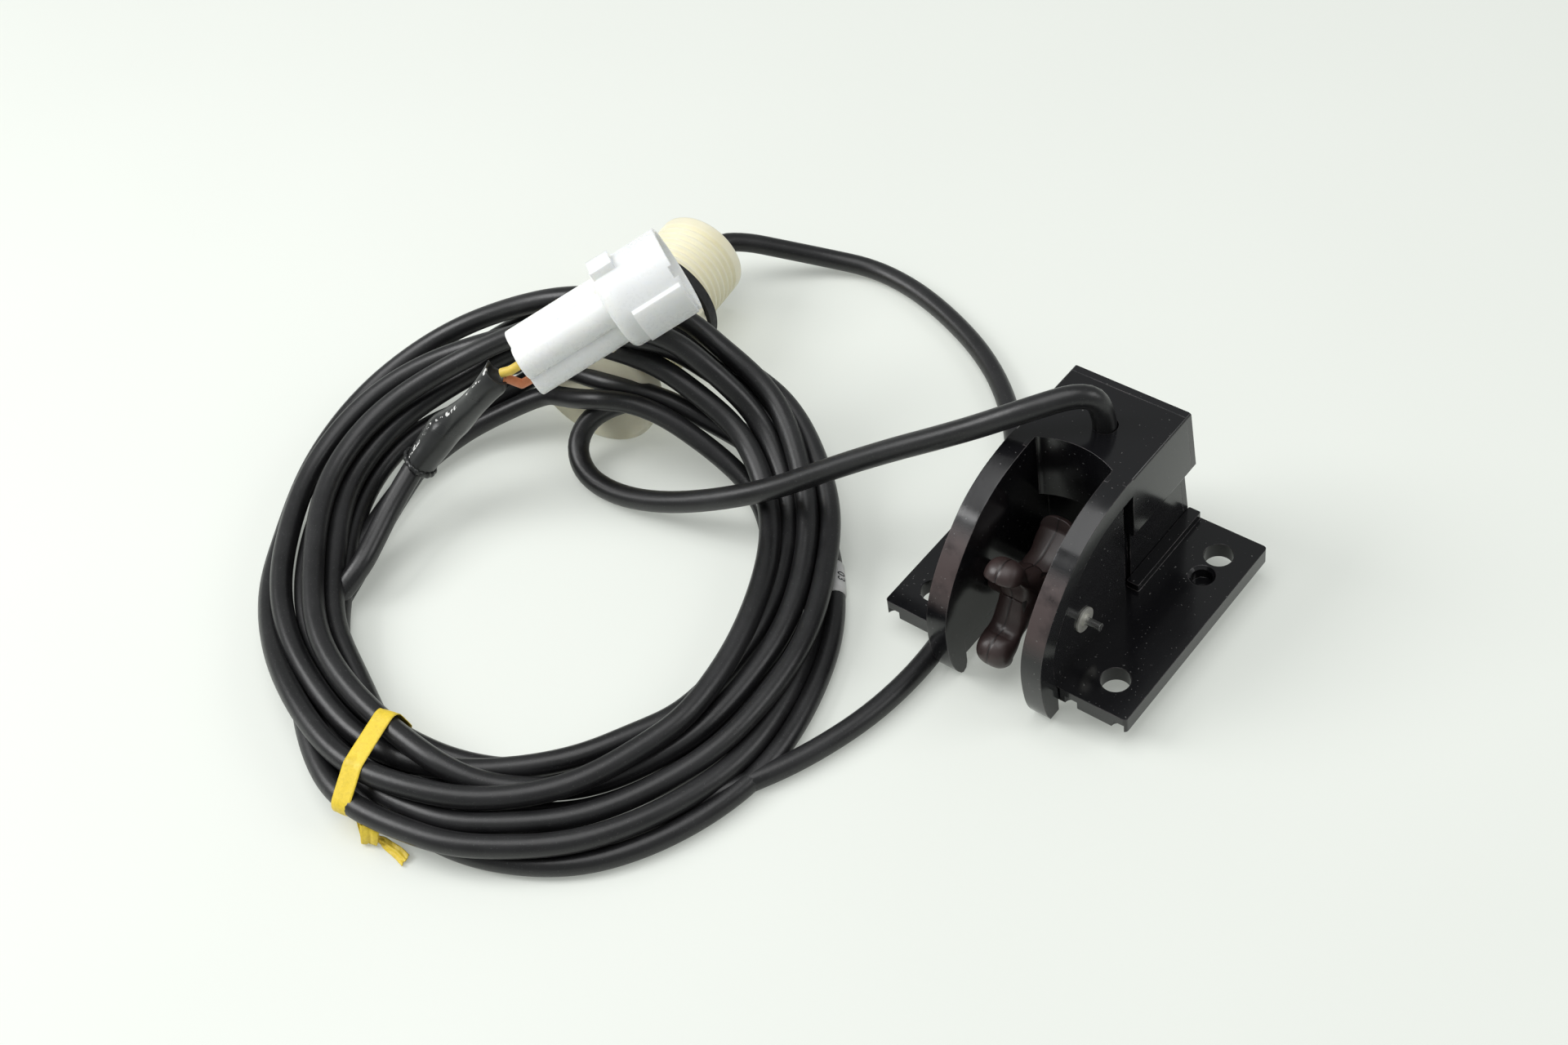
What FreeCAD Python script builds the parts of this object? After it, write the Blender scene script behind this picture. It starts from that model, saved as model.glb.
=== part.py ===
"""Depth and speed transducer set for a small boat.

A black paddlewheel speed sensor stands on its transom bracket.  A cream
ultrasonic depth transducer with a threaded through-hull stem lies beside it.
Their two cables share one loose coil, tied once, and end in one white plug.

Frame: millimetres, +Z up.  The origin is the centre of the bracket's four
screw holes, on the bracket's back face.  X runs across the bracket and +Y
runs from the paddlewheel to the end cap.  The table is FLOOR below zero.
"""
import math
import os

import FreeCAD
import Part

V = FreeCAD.Vector

# ---- table and bracket ------------------------------------------------------
FLOOR = -5.4
PLATE_WIDTH = 66.5
PLATE_FRONT = -30.7
PLATE_BACK = 30.0
PLATE_T = 4.3
PLATE_CORNER_R = 1.0
HOLE_R = 3.5
HOLE_PITCH_X = 50.0
HOLE_PITCH_Y = 44.0
SPARE_HOLE_R = 2.5
SPARE_HOLE_X = 25.0
SPARE_HOLE_Y = 14.6
SPARE_SINK_R = 3.2
SPARE_FLOOR = 0.9
NOTCH_R = 1.6
NOTCH_X = (18.7, 31.0)
RAIL_T = 3.2
RAIL_H = 2.0
RAIL_GAP = 0.1
RAIL_FRONT = 2.7
RAIL_END_R = 0.4

# ---- speed sensor body ------------------------------------------------------
SLOT_HALF = 10.2
WEB_T = 1.0
CHEEK_T = 4.2
RIM_T = 1.1
RIM_BAND = 5.3
BODY_TOP = 43.4
BLOCK_HALF = 15.5
BLOCK_BOTTOM = 24.6
BLOCK_FRONT = 1.3
NECK_HALF = 12.0
NECK_FRONT = 4.7
FAR_TOP_Y = 25.3
FAR_LEAN = math.radians(6.57)
CAP_T = 1.9
GROOVE_FRONT = -1.2
GROOVE_TOP = 40.3
SLOT_ARC_R = 22.0
SLOT_APEX_Y = 3.8
EDGE_R = 0.7
CHEEK_EDGE = ((-3.9, 43.2), (-7.7, 42.7), (-12.0, 41.8), (-16.3, 40.3), (-20.4, 38.2),
              (-24.0, 35.4), (-27.3, 32.4), (-30.2, 29.2), (-32.6, 26.0), (-34.6, 22.6),
              (-36.2, 18.8), (-37.1, 14.6), (-37.2, 9.4), (-36.7, 4.2), (-35.8, 0.0),
              (-34.4, -3.2))
TIP_Y = -32.4
CAVITY_HALF = 6.5
CAVITY_FRONT = 7.0
CAVITY_FLOOR = 7.0
CAVITY_ROOF = 39.4
CABLE_HOLE_X = 1.2
CABLE_HOLE_Y = 12.4
CABLE_HOLE_GAP = 0.1

# ---- paddlewheel and axle ---------------------------------------------------
AXLE_Y = -18.2
AXLE_Z = 14.9
AXLE_R = 1.0
AXLE_GAP = 0.05
AXLE_HEAD_R = 2.0
AXLE_HEAD_T = 1.0
AXLE_TAIL = 4.6
PUSH_NUT_R = 3.1
PUSH_NUT_T = 0.5
PUSH_NUT_LEGS = 0.5
WHEEL_WIDTH = 8.0
WHEEL_SIDE_GAP = 0.3
HUB_R = 4.2
BOSS_R = 3.0
PADDLES = 4
PADDLE_FIRST = 31.0
PADDLE_SHIFT = -1.0
HEAD_CENTRE_R = 14.5
HEAD_R = 3.9
HEAD_EDGE_R = 2.2
HEAD_STEP = 0.3
STALK_BACK = 2.0
STALK_FRONT = 0.8
UNDERCUT = math.radians(16.0)
MAGNET_R = 1.6
MAGNET_T = 3.0

# ---- hall sensor, potting and body screws -----------------------------------
BOARD_HALF = 6.0
BOARD_T = 1.6
BOARD_BOTTOM = 9.0
BOARD_TOP = 34.0
CHIP = (4.0, 1.5, 3.0)
SCREW_X = 9.2
SCREW_Y = (10.0, 22.0)
SCREW_R = 1.2
SCREW_GAP = 0.05
SCREW_HEAD_R = 2.4
SCREW_HEAD_T = 1.3
SCREW_LENGTH = 12.0

# ---- depth transducer -------------------------------------------------------
FLANGE_X = -136.5
FLANGE_Y = -13.5
FLANGE_R = 18.6
FLANGE_T = 5.5
FLANGE_EDGE_R = 1.8
STEM_R = 12.7
STEM_LENGTH = 51.6
STEM_HEADING = math.radians(100.2)
THREAD_PITCH = 2.2
THREAD_DEPTH = 1.0
THREAD_START = 3.0
STEM_BORE_R = 9.5
WINDOW_T = 2.5
PIEZO_R = 8.5
PIEZO_T = 3.0
CORK_T = 3.0
STEM_GLAND_T = 6.0
NUT_START = 21.7
NUT_T = 6.0
NUT_R = 16.5
NUT_GRIPS = 12
NUT_GRIP_R = 3.0
NUT_GRIP_DEPTH = 0.7
NUT_GAP = 0.05
WASHER_GAP = 0.2
WASHER_T = 3.0
WASHER_R = 17.0

# ---- plug -------------------------------------------------------------------
PLUG_MOUTH = (-111.3, -2.8, 52.0)
PLUG_AXIS = (0.508, 0.804, 0.309)
PLUG_ROLL = math.radians(20.0)
SHROUD_R = 11.3
SHROUD_WALL = 1.2
SHROUD_LENGTH = 19.0
SHROUD_FLOOR = 4.0
LUG_W = 10.5
LUG_H = 1.3
LUG_LENGTH = 14.0
LUG_TURN = -140.0
LATCH_W = 6.0
LATCH_H = 1.6
LATCH_LENGTH = 6.0
LATCH_TURN = -62.3
SLOT_W = 2.9
SLOT_L = 1.0
SLOT_TURN = -92.3
SHROUD_ROUND = 2.0
LOBE_R = 4.6
LOBE_CENTRE_R = 4.4
LOBES = 4
LOBE_LENGTH = 25.3
LOBE_TURN = math.radians(-142.3)
WIRE_BORE_R = 1.3
WIRE_BORE_DEPTH = 8.0
PIN_R = 0.8
PIN_LENGTH = 13.0
PIN_SEAT = 3.0
PIN_RING_R = 4.4
WIRE_R = 1.15
WIRE_SEAT = 5.0

# ---- cables, coil and tie ---------------------------------------------------
SPEED_OD = 5.6
DEPTH_OD = 5.2
SPEED_PATH = ((1.2, 12.4, 49.2), (-2.4, 9.5, 54.2), (-11.9, 0.2, 51.6), (-21.2, -4.4, 46.0),
              (-31.1, -8.0, 40.0), (-42.6, -11.9, 33.2), (-56.0, -16.6, 24.6),
              (-72.5, -23.6, 13.6), (-89.5, -30.0, 6.0), (-104.2, -33.5, 0.6),
              (-117.5, -34.8, -2.4), (-128.5, -33.6, -2.2), (-135.6, -28.2, 0.4))
SPEED_END = (-134.0, -21.8, 6.6)
DEPTH_PATH = ((-146.6, 43.2, 10.1), (-141.0, 50.0, 8.2), (-133.0, 56.4, 4.0),
              (-123.4, 63.4, -0.4), (-112.0, 68.4, -2.7), (-98.0, 67.6, -2.8),
              (-82.6, 63.2, -2.8), (-66.7, 56.2, -2.8), (-53.2, 46.9, -2.8),
              (-41.6, 35.0, -2.8), (-32.4, 21.4, -2.8), (-25.6, 6.0, -2.8),
              (-20.8, -10.6, -2.8), (-18.9, -25.0, -2.8), (-17.9, -40.0, -2.8),
              (-19.4, -55.5, -2.8), (-23.8, -70.6, -2.8))
DEPTH_END = (-29.4, -83.0, -2.8)
TAIL_START = (-150.2, -92.0, 4.2)
TAIL_PATH = ((-152.7, -83.0, 6.2), (-155.1, -73.6, 8.9))
TAIL_END = (-155.8, -64.2, 12.4)
DEPTH_TAIL_START = (-155.0, -88.0, -0.4)
DEPTH_TAIL_PATH = ((-157.2, -79.0, 2.0), (-158.4, -69.6, 5.2))
DEPTH_TAIL_END = (-157.9, -59.9, 9.6)
SLEEVE_DEEP = (-0.494, 0.475, -0.728)
SLEEVE_SECTIONS = ((-156.8, -62.1, 11.0, 3.3, 5.7), (-154.5, -58.0, 15.5, 3.5, 5.7),
                   (-151.7, -54.5, 20.0, 3.8, 5.4), (-148.4, -52.3, 23.3, 3.0, 4.6),
                   (-144.3, -50.3, 28.0, 2.6, 3.6), (-140.0, -48.2, 33.4, 3.0, 3.3),
                   (-137.5, -46.3, 37.0, 3.4, 3.4), (-136.6, -45.2, 39.0, 2.8, 3.0))
SLEEVE_TIE_W = 1.6
SLEEVE_TIE_T = 0.8

# Coil outlines: the outside edge, the middle and the inside edge of the bundle
# in plan, then the lowest and highest points there.
COIL_OUTER = ((-57, -21, -5.4, 2.4), (-38, -46, -5.4, 0.6), (-29.7, -77.4, -5.4, 0.6),
              (-33.3, -104, -5.4, 1.4), (-46.4, -125.4, -5.4, 2.6), (-66.8, -137.8, -5.4, 4.0),
              (-87.2, -141.9, -4.7, 5.6), (-113.5, -142.1, -4.7, 5.8), (-145.2, -127, -4.7, 6.2),
              (-167.6, -110.6, -5.0, 7.0), (-180.4, -93.4, -5.0, 8.0), (-191, -70.1, -4.6, 11.0),
              (-188.6, -46.6, -1.0, 17.0), (-171.5, -19.0, 12.0, 26.0), (-150.5, 2.6, 26.8, 36.6),
              (-131.0, 3.4, 29.2, 38.6), (-108.4, -0.4, 20.0, 32.0), (-86.6, -1.2, 6.0, 19.0),
              (-68.0, -10.8, -2.0, 9.0))
COIL_MIDDLE = ((-63, -28.8), (-49.9, -51.4), (-44.4, -77.1), (-48.7, -96.9), (-58.6, -113.7),
               (-74.2, -125), (-90.5, -130.2), (-112, -130.2), (-138.2, -119.5),
               (-156.5, -106.4), (-168.9, -87.6), (-177.1, -67.3), (-175.4, -47.4),
               (-164.5, -24.6), (-148.8, -8.2), (-129.8, -5.8), (-113.4, -9.6),
               (-93.6, -8.4), (-76.0, -15.6))
COIL_INNER = ((-71.2, -33.1, -5.4, 2.0), (-62.1, -56, -5.4, 0.6), (-59.2, -76.8, -5.4, 0.6),
              (-64.1, -90.1, -5.4, 1.4), (-71.2, -102.2, -5.4, 2.6), (-80.8, -114.0, -5.4, 4.0),
              (-93.0, -120.6, -4.6, 5.6), (-110.9, -120.4, -4.6, 5.8), (-131.7, -113.4, -4.6, 6.2),
              (-145.6, -101.9, -4.6, 7.0), (-157.2, -81.7, -4.6, 8.0), (-163.2, -64.3, -4.6, 9.0),
              (-162.7, -50.4, -3.0, 12.0), (-154.0, -38.4, 4.0, 20.0), (-139.4, -33.0, 8.0, 26.0),
              (-125.6, -29.4, 9.0, 26.0), (-109.0, -22.0, 4.0, 20.0), (-97.0, -18.6, -2.0, 11.0),
              (-84.4, -21.2, -4.6, 6.0))
COIL_INNER_SPLIT = ((13, -158.0, -32.4), (14, -141.2, -26.0), (15, -127.4, -22.6),
                    (16, -111.2, -15.4), (17, -94.9, -11.6))
COIL_GAP = 0.15
COIL_BEVEL = 0.3
TIE_AT = (-105.2, -131.3)
TIE_TURN = 11.5
TIE_SPAN = 24.6
TIE_TOP = 6.4
TIE_W = 4.5
TIE_T = 0.5
TIE_TAIL = 7.0
MARKER_FROM = (-55.4, -26.0, -2.6)
MARKER_TO = (-49.7, -33.7, -2.6)
MARKER_T = 0.3


# ---- helpers ----------------------------------------------------------------
def box(x0, x1, y0, y1, z0, z1):
    """A box from its six limits."""
    return Part.makeBox(x1 - x0, y1 - y0, z1 - z0, V(x0, y0, z0))


def rod(radius, start, end):
    """A round rod from one point to another."""
    a = V(*start)
    along = V(*end) - a
    return Part.makeCylinder(radius, along.Length, a, along)


def prism_x(points, x0, x1):
    """A (y, z) outline pulled along X."""
    wire = Part.makePolygon([V(x0, y, z) for y, z in points + points[:1]])
    return Part.Face(wire).extrude(V(x1 - x0, 0, 0))


def mirrored(shape):
    """The same shape on the other side of the bracket's middle."""
    return shape.mirror(V(0, 0, 0), V(1, 0, 0))


def turned(points):
    """A solid of revolution about local Z from an (r, z) outline."""
    wire = Part.makePolygon([V(r, 0, z) for r, z in points + points[:1]])
    return Part.Face(wire).revolve(V(0, 0, 0), V(0, 0, 1), 360)


def faceted(rings):
    """A closed ring of flat triangles through matching section outlines."""
    faces = []
    count = len(rings)
    size = len(rings[0])
    for i in range(count):
        here = rings[i]
        there = rings[(i + 1) % count]
        for j in range(size):
            k = (j + 1) % size
            for corners in ((here[j], here[k], there[k]), (here[j], there[k], there[j])):
                outline = Part.makePolygon([V(*p) for p in corners + corners[:1]])
                faces.append(Part.Face(outline))
    return Part.Solid(Part.Shell(faces))


def tube(points, diameter):
    """A round cord along straight runs joined by tangent arcs."""
    nodes = [V(*p) for p in points]
    edges = []
    start = nodes[0]
    for before, here, after in zip(nodes, nodes[1:], nodes[2:]):
        back = before - here
        ahead = after - here
        half_turn = (math.pi - back.getAngle(ahead)) / 2
        trim = 0.45 * min(back.Length, ahead.Length)
        first = here + back.normalize() * trim
        last = here + ahead.normalize() * trim
        radius = trim / math.tan(half_turn)
        towards = (back + ahead).normalize()
        middle = here + towards * (radius / math.cos(half_turn) - radius)
        edges.append(Part.LineSegment(start, first).toShape())
        edges.append(Part.Arc(first, middle, last).toShape())
        start = last
        print("bend radius", round(radius, 1), "of", diameter)
    edges.append(Part.LineSegment(start, nodes[-1]).toShape())
    spine = Part.Wire(edges)
    section = Part.Wire(Part.makeCircle(diameter / 2, nodes[0], nodes[1] - nodes[0]))
    shape = spine.makePipeShell([section], True, True)
    print("volume ratio", shape.Volume / (math.pi * diameter ** 2 / 4 * spine.Length))
    return shape


# ---- bracket and speed sensor -----------------------------------------------
def far_y(z, inset=0.0):
    """The leaning back face of the sensor body at height z."""
    return FAR_TOP_Y + (BODY_TOP - z) * math.tan(FAR_LEAN) - inset


def screw_places():
    """Axis positions of the four body screws."""
    return [(side * SCREW_X, y) for side in (-1, 1) for y in SCREW_Y]


def bracket_plate():
    half = PLATE_WIDTH / 2
    plate = box(-half, half, PLATE_FRONT, PLATE_BACK, 0, PLATE_T)
    upright = [e for e in plate.Edges if abs(e.tangentAt(e.FirstParameter).z) > 0.9]
    plate = plate.makeFillet(PLATE_CORNER_R, upright)
    for x in (-HOLE_PITCH_X / 2, HOLE_PITCH_X / 2):
        for y in (-HOLE_PITCH_Y / 2, HOLE_PITCH_Y / 2):
            plate = plate.cut(rod(HOLE_R, (x, y, -1), (x, y, PLATE_T + 1)))
    for side in (-1, 1):
        x = side * SPARE_HOLE_X
        plate = plate.cut(rod(SPARE_HOLE_R, (x, SPARE_HOLE_Y, SPARE_FLOOR), (x, SPARE_HOLE_Y, 9)))
        sink = Part.makeCone(SPARE_HOLE_R, SPARE_SINK_R, SPARE_SINK_R - SPARE_HOLE_R,
                             V(x, SPARE_HOLE_Y, PLATE_T - SPARE_SINK_R + SPARE_HOLE_R))
        plate = plate.cut(sink)
        for across in NOTCH_X:
            x = side * across
            plate = plate.cut(rod(NOTCH_R, (x, PLATE_FRONT, -1), (x, PLATE_FRONT, PLATE_T / 2)))
    plate = plate.cut(box(-SLOT_HALF, SLOT_HALF, PLATE_FRONT - 1, GROOVE_FRONT, -1, PLATE_T + 1))
    rail_x = NECK_HALF + RAIL_GAP
    rail = box(rail_x, rail_x + RAIL_T, RAIL_FRONT, PLATE_BACK, PLATE_T, PLATE_T + RAIL_H)
    ends = [e for e in rail.Edges if abs(e.tangentAt(e.FirstParameter).z) > 0.9]
    rail = rail.makeFillet(RAIL_END_R, ends)
    plate = plate.fuse(rail).fuse(mirrored(rail))
    for x, y in screw_places():
        plate = plate.cut(rod(SCREW_R + 2 * SCREW_GAP, (x, y, -1), (x, y, PLATE_T + 1)))
        plate = plate.cut(Part.makeCone(SCREW_HEAD_R + SCREW_GAP, SCREW_R + SCREW_GAP,
                                        SCREW_HEAD_T + SCREW_GAP, V(x, y, 0)))
    return plate.removeSplitter()


def free_edge():
    """The (y, z) points of the cheek's free edge, from the block's top to its lower front."""
    return [(BLOCK_FRONT, BODY_TOP)] + list(CHEEK_EDGE)


def swept_prism_x(x0, x1, *runs):
    """A closed outline pulled along X. Its runs of (y, z) points are smooth curves if they
    hold more than four points, and straight lines otherwise."""
    edges = []
    for points, following in zip(runs, runs[1:] + runs[:1]):
        places = [V(x0, y, z) for y, z in points]
        if len(places) > 4:
            curve = Part.BSplineCurve()
            curve.interpolate(places)
            edges.append(curve.toShape())
        else:
            edges += [Part.LineSegment(a, b).toShape() for a, b in zip(places, places[1:])]
        edges.append(Part.LineSegment(places[-1], V(x0, *following[0])).toShape())
    return Part.Face(Part.Wire(edges)).extrude(V(x1 - x0, 0, 0))


def cheek_rest():
    """The cheek's outline after its free edge: tip, then up behind the plate's front edge."""
    tip = [(TIP_Y - 0.9, FLOOR + 0.6), (TIP_Y, FLOOR), (TIP_Y + 1.1, FLOOR + 0.5)]
    rear = [(PLATE_FRONT, FLOOR + 2.2), (PLATE_FRONT, PLATE_T)]
    return tip, rear, [(GROOVE_FRONT, PLATE_T), (GROOVE_FRONT, GROOVE_TOP),
                       (BLOCK_FRONT, GROOVE_TOP)]


def rim_inner_edge():
    """The raised band's inner edge, from the bottom up: the free edge moved in by its width."""
    edge = free_edge()
    inner = []
    for i, (y, z) in enumerate(edge):
        y0, z0 = edge[max(i - 1, 0)]
        y1, z1 = edge[min(i + 1, len(edge) - 1)]
        length = math.hypot(y1 - y0, z1 - z0)
        inner.append((y - (z1 - z0) / length * RIM_BAND, z + (y1 - y0) / length * RIM_BAND))
    return [p for p in inner if p[1] > PLATE_T + 0.2][::-1]


def cheek():
    """One side wall of the wheel slot, with its web and raised rim."""
    outer = SLOT_HALF + CHEEK_T
    plate = swept_prism_x(SLOT_HALF, outer, free_edge(), *cheek_rest())
    foot = [(PLATE_FRONT - 0.4, -3.2), (PLATE_FRONT - 0.4, PLATE_T + 0.2)]
    rim = swept_prism_x(outer, outer + RIM_T, free_edge(), foot, rim_inner_edge())
    web = box(SLOT_HALF, SLOT_HALF + WEB_T, GROOVE_FRONT - 1, NECK_FRONT + 1, PLATE_T, BODY_TOP)
    lip = box(outer, outer + RIM_T, GROOVE_FRONT, BLOCK_FRONT, GROOVE_TOP, BODY_TOP)
    wall = plate.fuse([rim, web, lip])
    return wall.cut(rod(AXLE_R + AXLE_GAP / 2, (0, AXLE_Y, AXLE_Z), (30, AXLE_Y, AXLE_Z)))


def body_blank():
    """Block over neck, as wide as the real body, reaching past its back face."""
    block = box(-BLOCK_HALF, BLOCK_HALF, BLOCK_FRONT, PLATE_BACK + 5, BLOCK_BOTTOM, BODY_TOP)
    long_edges = [e for e in block.Edges if abs(e.tangentAt(e.FirstParameter).y) > 0.9]
    block = block.makeFillet(EDGE_R, long_edges)
    neck = box(-NECK_HALF, NECK_HALF, NECK_FRONT, PLATE_BACK + 5, PLATE_T, BLOCK_BOTTOM + 1)
    return block.fuse(neck)


def back_slab(front_inset, back_inset):
    """The leaning slab between two insets from the body's back face."""
    low = PLATE_T - 5
    high = BODY_TOP + 5
    points = [(far_y(low, front_inset), low), (far_y(low, back_inset), low),
              (far_y(high, back_inset), high), (far_y(high, front_inset), high)]
    return prism_x(points, -40, 40)


def sensor_body():
    body = body_blank().cut(back_slab(CAP_T, -20))
    body = body.fuse([cheek(), mirrored(cheek())])
    body = body.cut(box(-CAVITY_HALF, CAVITY_HALF, CAVITY_FRONT, PLATE_BACK + 5,
                        CAVITY_FLOOR, CAVITY_ROOF))
    scoop = rod(SLOT_ARC_R, (0, SLOT_APEX_Y - SLOT_ARC_R, PLATE_T - 1),
                (0, SLOT_APEX_Y - SLOT_ARC_R, BODY_TOP + 1))
    body = body.cut(scoop.common(box(-SLOT_HALF, SLOT_HALF, -50, NECK_FRONT, -9, 99)))
    hole = rod(SPEED_OD / 2 + CABLE_HOLE_GAP, (CABLE_HOLE_X, CABLE_HOLE_Y, CAVITY_ROOF - 1),
               (CABLE_HOLE_X, CABLE_HOLE_Y, BODY_TOP + 1))
    body = body.cut(hole)
    for x, y in screw_places():
        body = body.cut(rod(SCREW_R + SCREW_GAP, (x, y, PLATE_T - 1), (x, y, SCREW_LENGTH + 0.5)))
    return body.removeSplitter()


def end_cap():
    return body_blank().common(back_slab(CAP_T, 0)).removeSplitter()


def hall_board():
    front = CAVITY_FRONT + CHIP[1]
    return box(-BOARD_HALF, BOARD_HALF, front, front + BOARD_T, BOARD_BOTTOM, BOARD_TOP)


def hall_chip():
    middle = AXLE_Z
    return box(-CHIP[0] / 2, CHIP[0] / 2, CAVITY_FRONT, CAVITY_FRONT + CHIP[1],
               middle - CHIP[2] / 2, middle + CHIP[2] / 2)


def body_potting():
    front = CAVITY_FRONT + CHIP[1] + BOARD_T
    fill = box(-CAVITY_HALF, CAVITY_HALF, front, PLATE_BACK + 5, CAVITY_FLOOR, CAVITY_ROOF)
    return fill.cut(back_slab(CAP_T, -20))


def body_screws():
    screws = []
    for x, y in screw_places():
        shank = rod(SCREW_R, (x, y, SCREW_HEAD_T / 2), (x, y, SCREW_LENGTH))
        head = Part.makeCone(SCREW_HEAD_R, SCREW_R, SCREW_HEAD_T, V(x, y, 0))
        slot = box(x - SCREW_HEAD_R, x + SCREW_HEAD_R, y - 0.3, y + 0.3, -1, 0.5)
        screws.append(shank.fuse(head).cut(slot))
    return Part.Compound(screws)


def axle_pin():
    outer = SLOT_HALF + CHEEK_T
    pin = rod(AXLE_R, (-outer - AXLE_HEAD_T / 2, AXLE_Y, AXLE_Z),
              (outer + AXLE_TAIL, AXLE_Y, AXLE_Z))
    head = rod(AXLE_HEAD_R, (-outer - AXLE_HEAD_T, AXLE_Y, AXLE_Z), (-outer, AXLE_Y, AXLE_Z))
    return pin.fuse(head).removeSplitter()


def push_nut():
    start = SLOT_HALF + CHEEK_T
    disc = rod(PUSH_NUT_R, (start, AXLE_Y, AXLE_Z), (start + PUSH_NUT_T, AXLE_Y, AXLE_Z))
    collar = rod(AXLE_R + 0.6, (start, AXLE_Y, AXLE_Z),
                 (start + PUSH_NUT_T + PUSH_NUT_LEGS, AXLE_Y, AXLE_Z))
    bore = rod(AXLE_R + AXLE_GAP / 2, (start - 1, AXLE_Y, AXLE_Z), (start + 9, AXLE_Y, AXLE_Z))
    return disc.fuse(collar).cut(bore).removeSplitter()


def paddle_sides():
    """The two X planes that bound every paddle."""
    return PADDLE_SHIFT - WHEEL_WIDTH / 2, PADDLE_SHIFT + WHEEL_WIDTH / 2


def paddle(angle, step, x0, x1):
    """One paddle between two X planes: a stalk with a round, undercut head."""
    back = [(HUB_R - 1.4, -STALK_BACK - 0.6), (0.5 * HEAD_CENTRE_R, -STALK_BACK + step)]
    for turn in (200, 225, 250, 275, 300, 325, 350, 375, 397):
        a = math.radians(turn)
        radius = HEAD_R - step
        back.append((HEAD_CENTRE_R + radius * math.cos(a), radius * math.sin(a)))
    curve = Part.BSplineCurve()
    curve.interpolate([V(x0, r, t) for r, t in back[:2] + back[3:]])
    corner = back[-1]
    foot = (corner[0] - HEAD_R * math.sin(UNDERCUT) - 1.0, STALK_FRONT)
    front = [corner, foot, (HUB_R - 1.4, STALK_FRONT + 1.2), back[0]]
    edges = [curve.toShape()]
    for (r0, t0), (r1, t1) in zip(front, front[1:]):
        edges.append(Part.LineSegment(V(x0, r0, t0), V(x0, r1, t1)).toShape())
    shape = Part.Face(Part.Wire(edges)).extrude(V(x1 - x0, 0, 0))
    shape.rotate(V(0, 0, 0), V(1, 0, 0), angle)
    return shape


def wheel_envelope():
    """The turned outline that rounds the sides of every paddle head."""
    left, right = paddle_sides()
    drum = rod(HEAD_CENTRE_R + HEAD_R, (left, 0, 0), (right, 0, 0))
    rims = [e for e in drum.Edges if e.Closed and e.Length > HEAD_CENTRE_R]
    return drum.makeFillet(HEAD_EDGE_R, rims)


def paddle_angles():
    return [PADDLE_FIRST + 360 / PADDLES * i for i in range(PADDLES)]


def paddle_wheel():
    left, right = paddle_sides()
    boss = SLOT_HALF - WHEEL_SIDE_GAP
    wheel = rod(BOSS_R, (-boss, 0, 0), (boss, 0, 0)).fuse(rod(HUB_R, (left, 0, 0), (right, 0, 0)))
    envelope = wheel_envelope()
    for angle in paddle_angles():
        wheel = wheel.fuse(paddle(angle, 0.0, left, PADDLE_SHIFT).common(envelope))
        wheel = wheel.fuse(paddle(angle, HEAD_STEP, PADDLE_SHIFT, right).common(envelope))
    for at in magnet_places():
        wheel = wheel.cut(rod(MAGNET_R, (left - 1, *at), (left + MAGNET_T, *at)))
    wheel = wheel.cut(rod(AXLE_R + AXLE_GAP, (-30, 0, 0), (30, 0, 0)))
    wheel.translate(V(0, AXLE_Y, AXLE_Z))
    return wheel.removeSplitter()


def magnet_places():
    """(y, z) of each magnet about the wheel's centre."""
    return [(HEAD_CENTRE_R * math.cos(math.radians(a)), HEAD_CENTRE_R * math.sin(math.radians(a)))
            for a in paddle_angles()]


def wheel_magnets():
    left = paddle_sides()[0]
    magnets = []
    for y, z in magnet_places():
        y += AXLE_Y
        z += AXLE_Z
        magnets.append(rod(MAGNET_R, (left, y, z), (left + MAGNET_T, y, z)))
    return Part.Compound(magnets)


# ---- depth transducer -------------------------------------------------------
def transducer_tilt():
    """The stem's fall towards its end: it rests on the flange rim and the washer rim."""
    washer_end = NUT_START + NUT_T + WASHER_GAP + WASHER_T
    return math.atan2(FLANGE_R - WASHER_R, washer_end)


def transducer_placement():
    """Local Z becomes the stem's axis, with its origin at the flange's inner face."""
    tilt = transducer_tilt()
    heading = V(math.cos(STEM_HEADING), math.sin(STEM_HEADING), 0)
    axis = heading * math.cos(tilt) - V(0, 0, math.sin(tilt))
    height = FLOOR + FLANGE_R * math.cos(tilt)
    turn = FreeCAD.Rotation(V(0, 0, 1), axis)
    return FreeCAD.Placement(V(FLANGE_X, FLANGE_Y, height), turn)


def on_stem(shape):
    shape.Placement = transducer_placement().multiply(shape.Placement)
    return shape


def transducer_housing():
    flange = rod(FLANGE_R, (0, 0, -FLANGE_T), (0, 0, 0))
    rim = [e for e in flange.Edges if e.BoundBox.ZMax < -FLANGE_T / 2]
    flange = flange.makeFillet(FLANGE_EDGE_R, rim)
    root = STEM_R - THREAD_DEPTH
    outline = [(0, -1), (STEM_R, -1), (STEM_R, THREAD_START)]
    pitches = int((STEM_LENGTH - THREAD_START - 1) / THREAD_PITCH)
    for i in range(pitches):
        s = THREAD_START + i * THREAD_PITCH
        outline += [(root, s + 0.30 * THREAD_PITCH), (root, s + 0.50 * THREAD_PITCH),
                    (STEM_R, s + 0.80 * THREAD_PITCH), (STEM_R, s + THREAD_PITCH)]
    outline += [(STEM_R, STEM_LENGTH), (0, STEM_LENGTH)]
    bore = rod(STEM_BORE_R, (0, 0, WINDOW_T - FLANGE_T), (0, 0, STEM_LENGTH + 1))
    return on_stem(flange.fuse(turned(outline)).cut(bore))


def piezo_disc():
    floor = WINDOW_T - FLANGE_T
    return on_stem(rod(PIEZO_R, (0, 0, floor), (0, 0, floor + PIEZO_T)))


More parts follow.
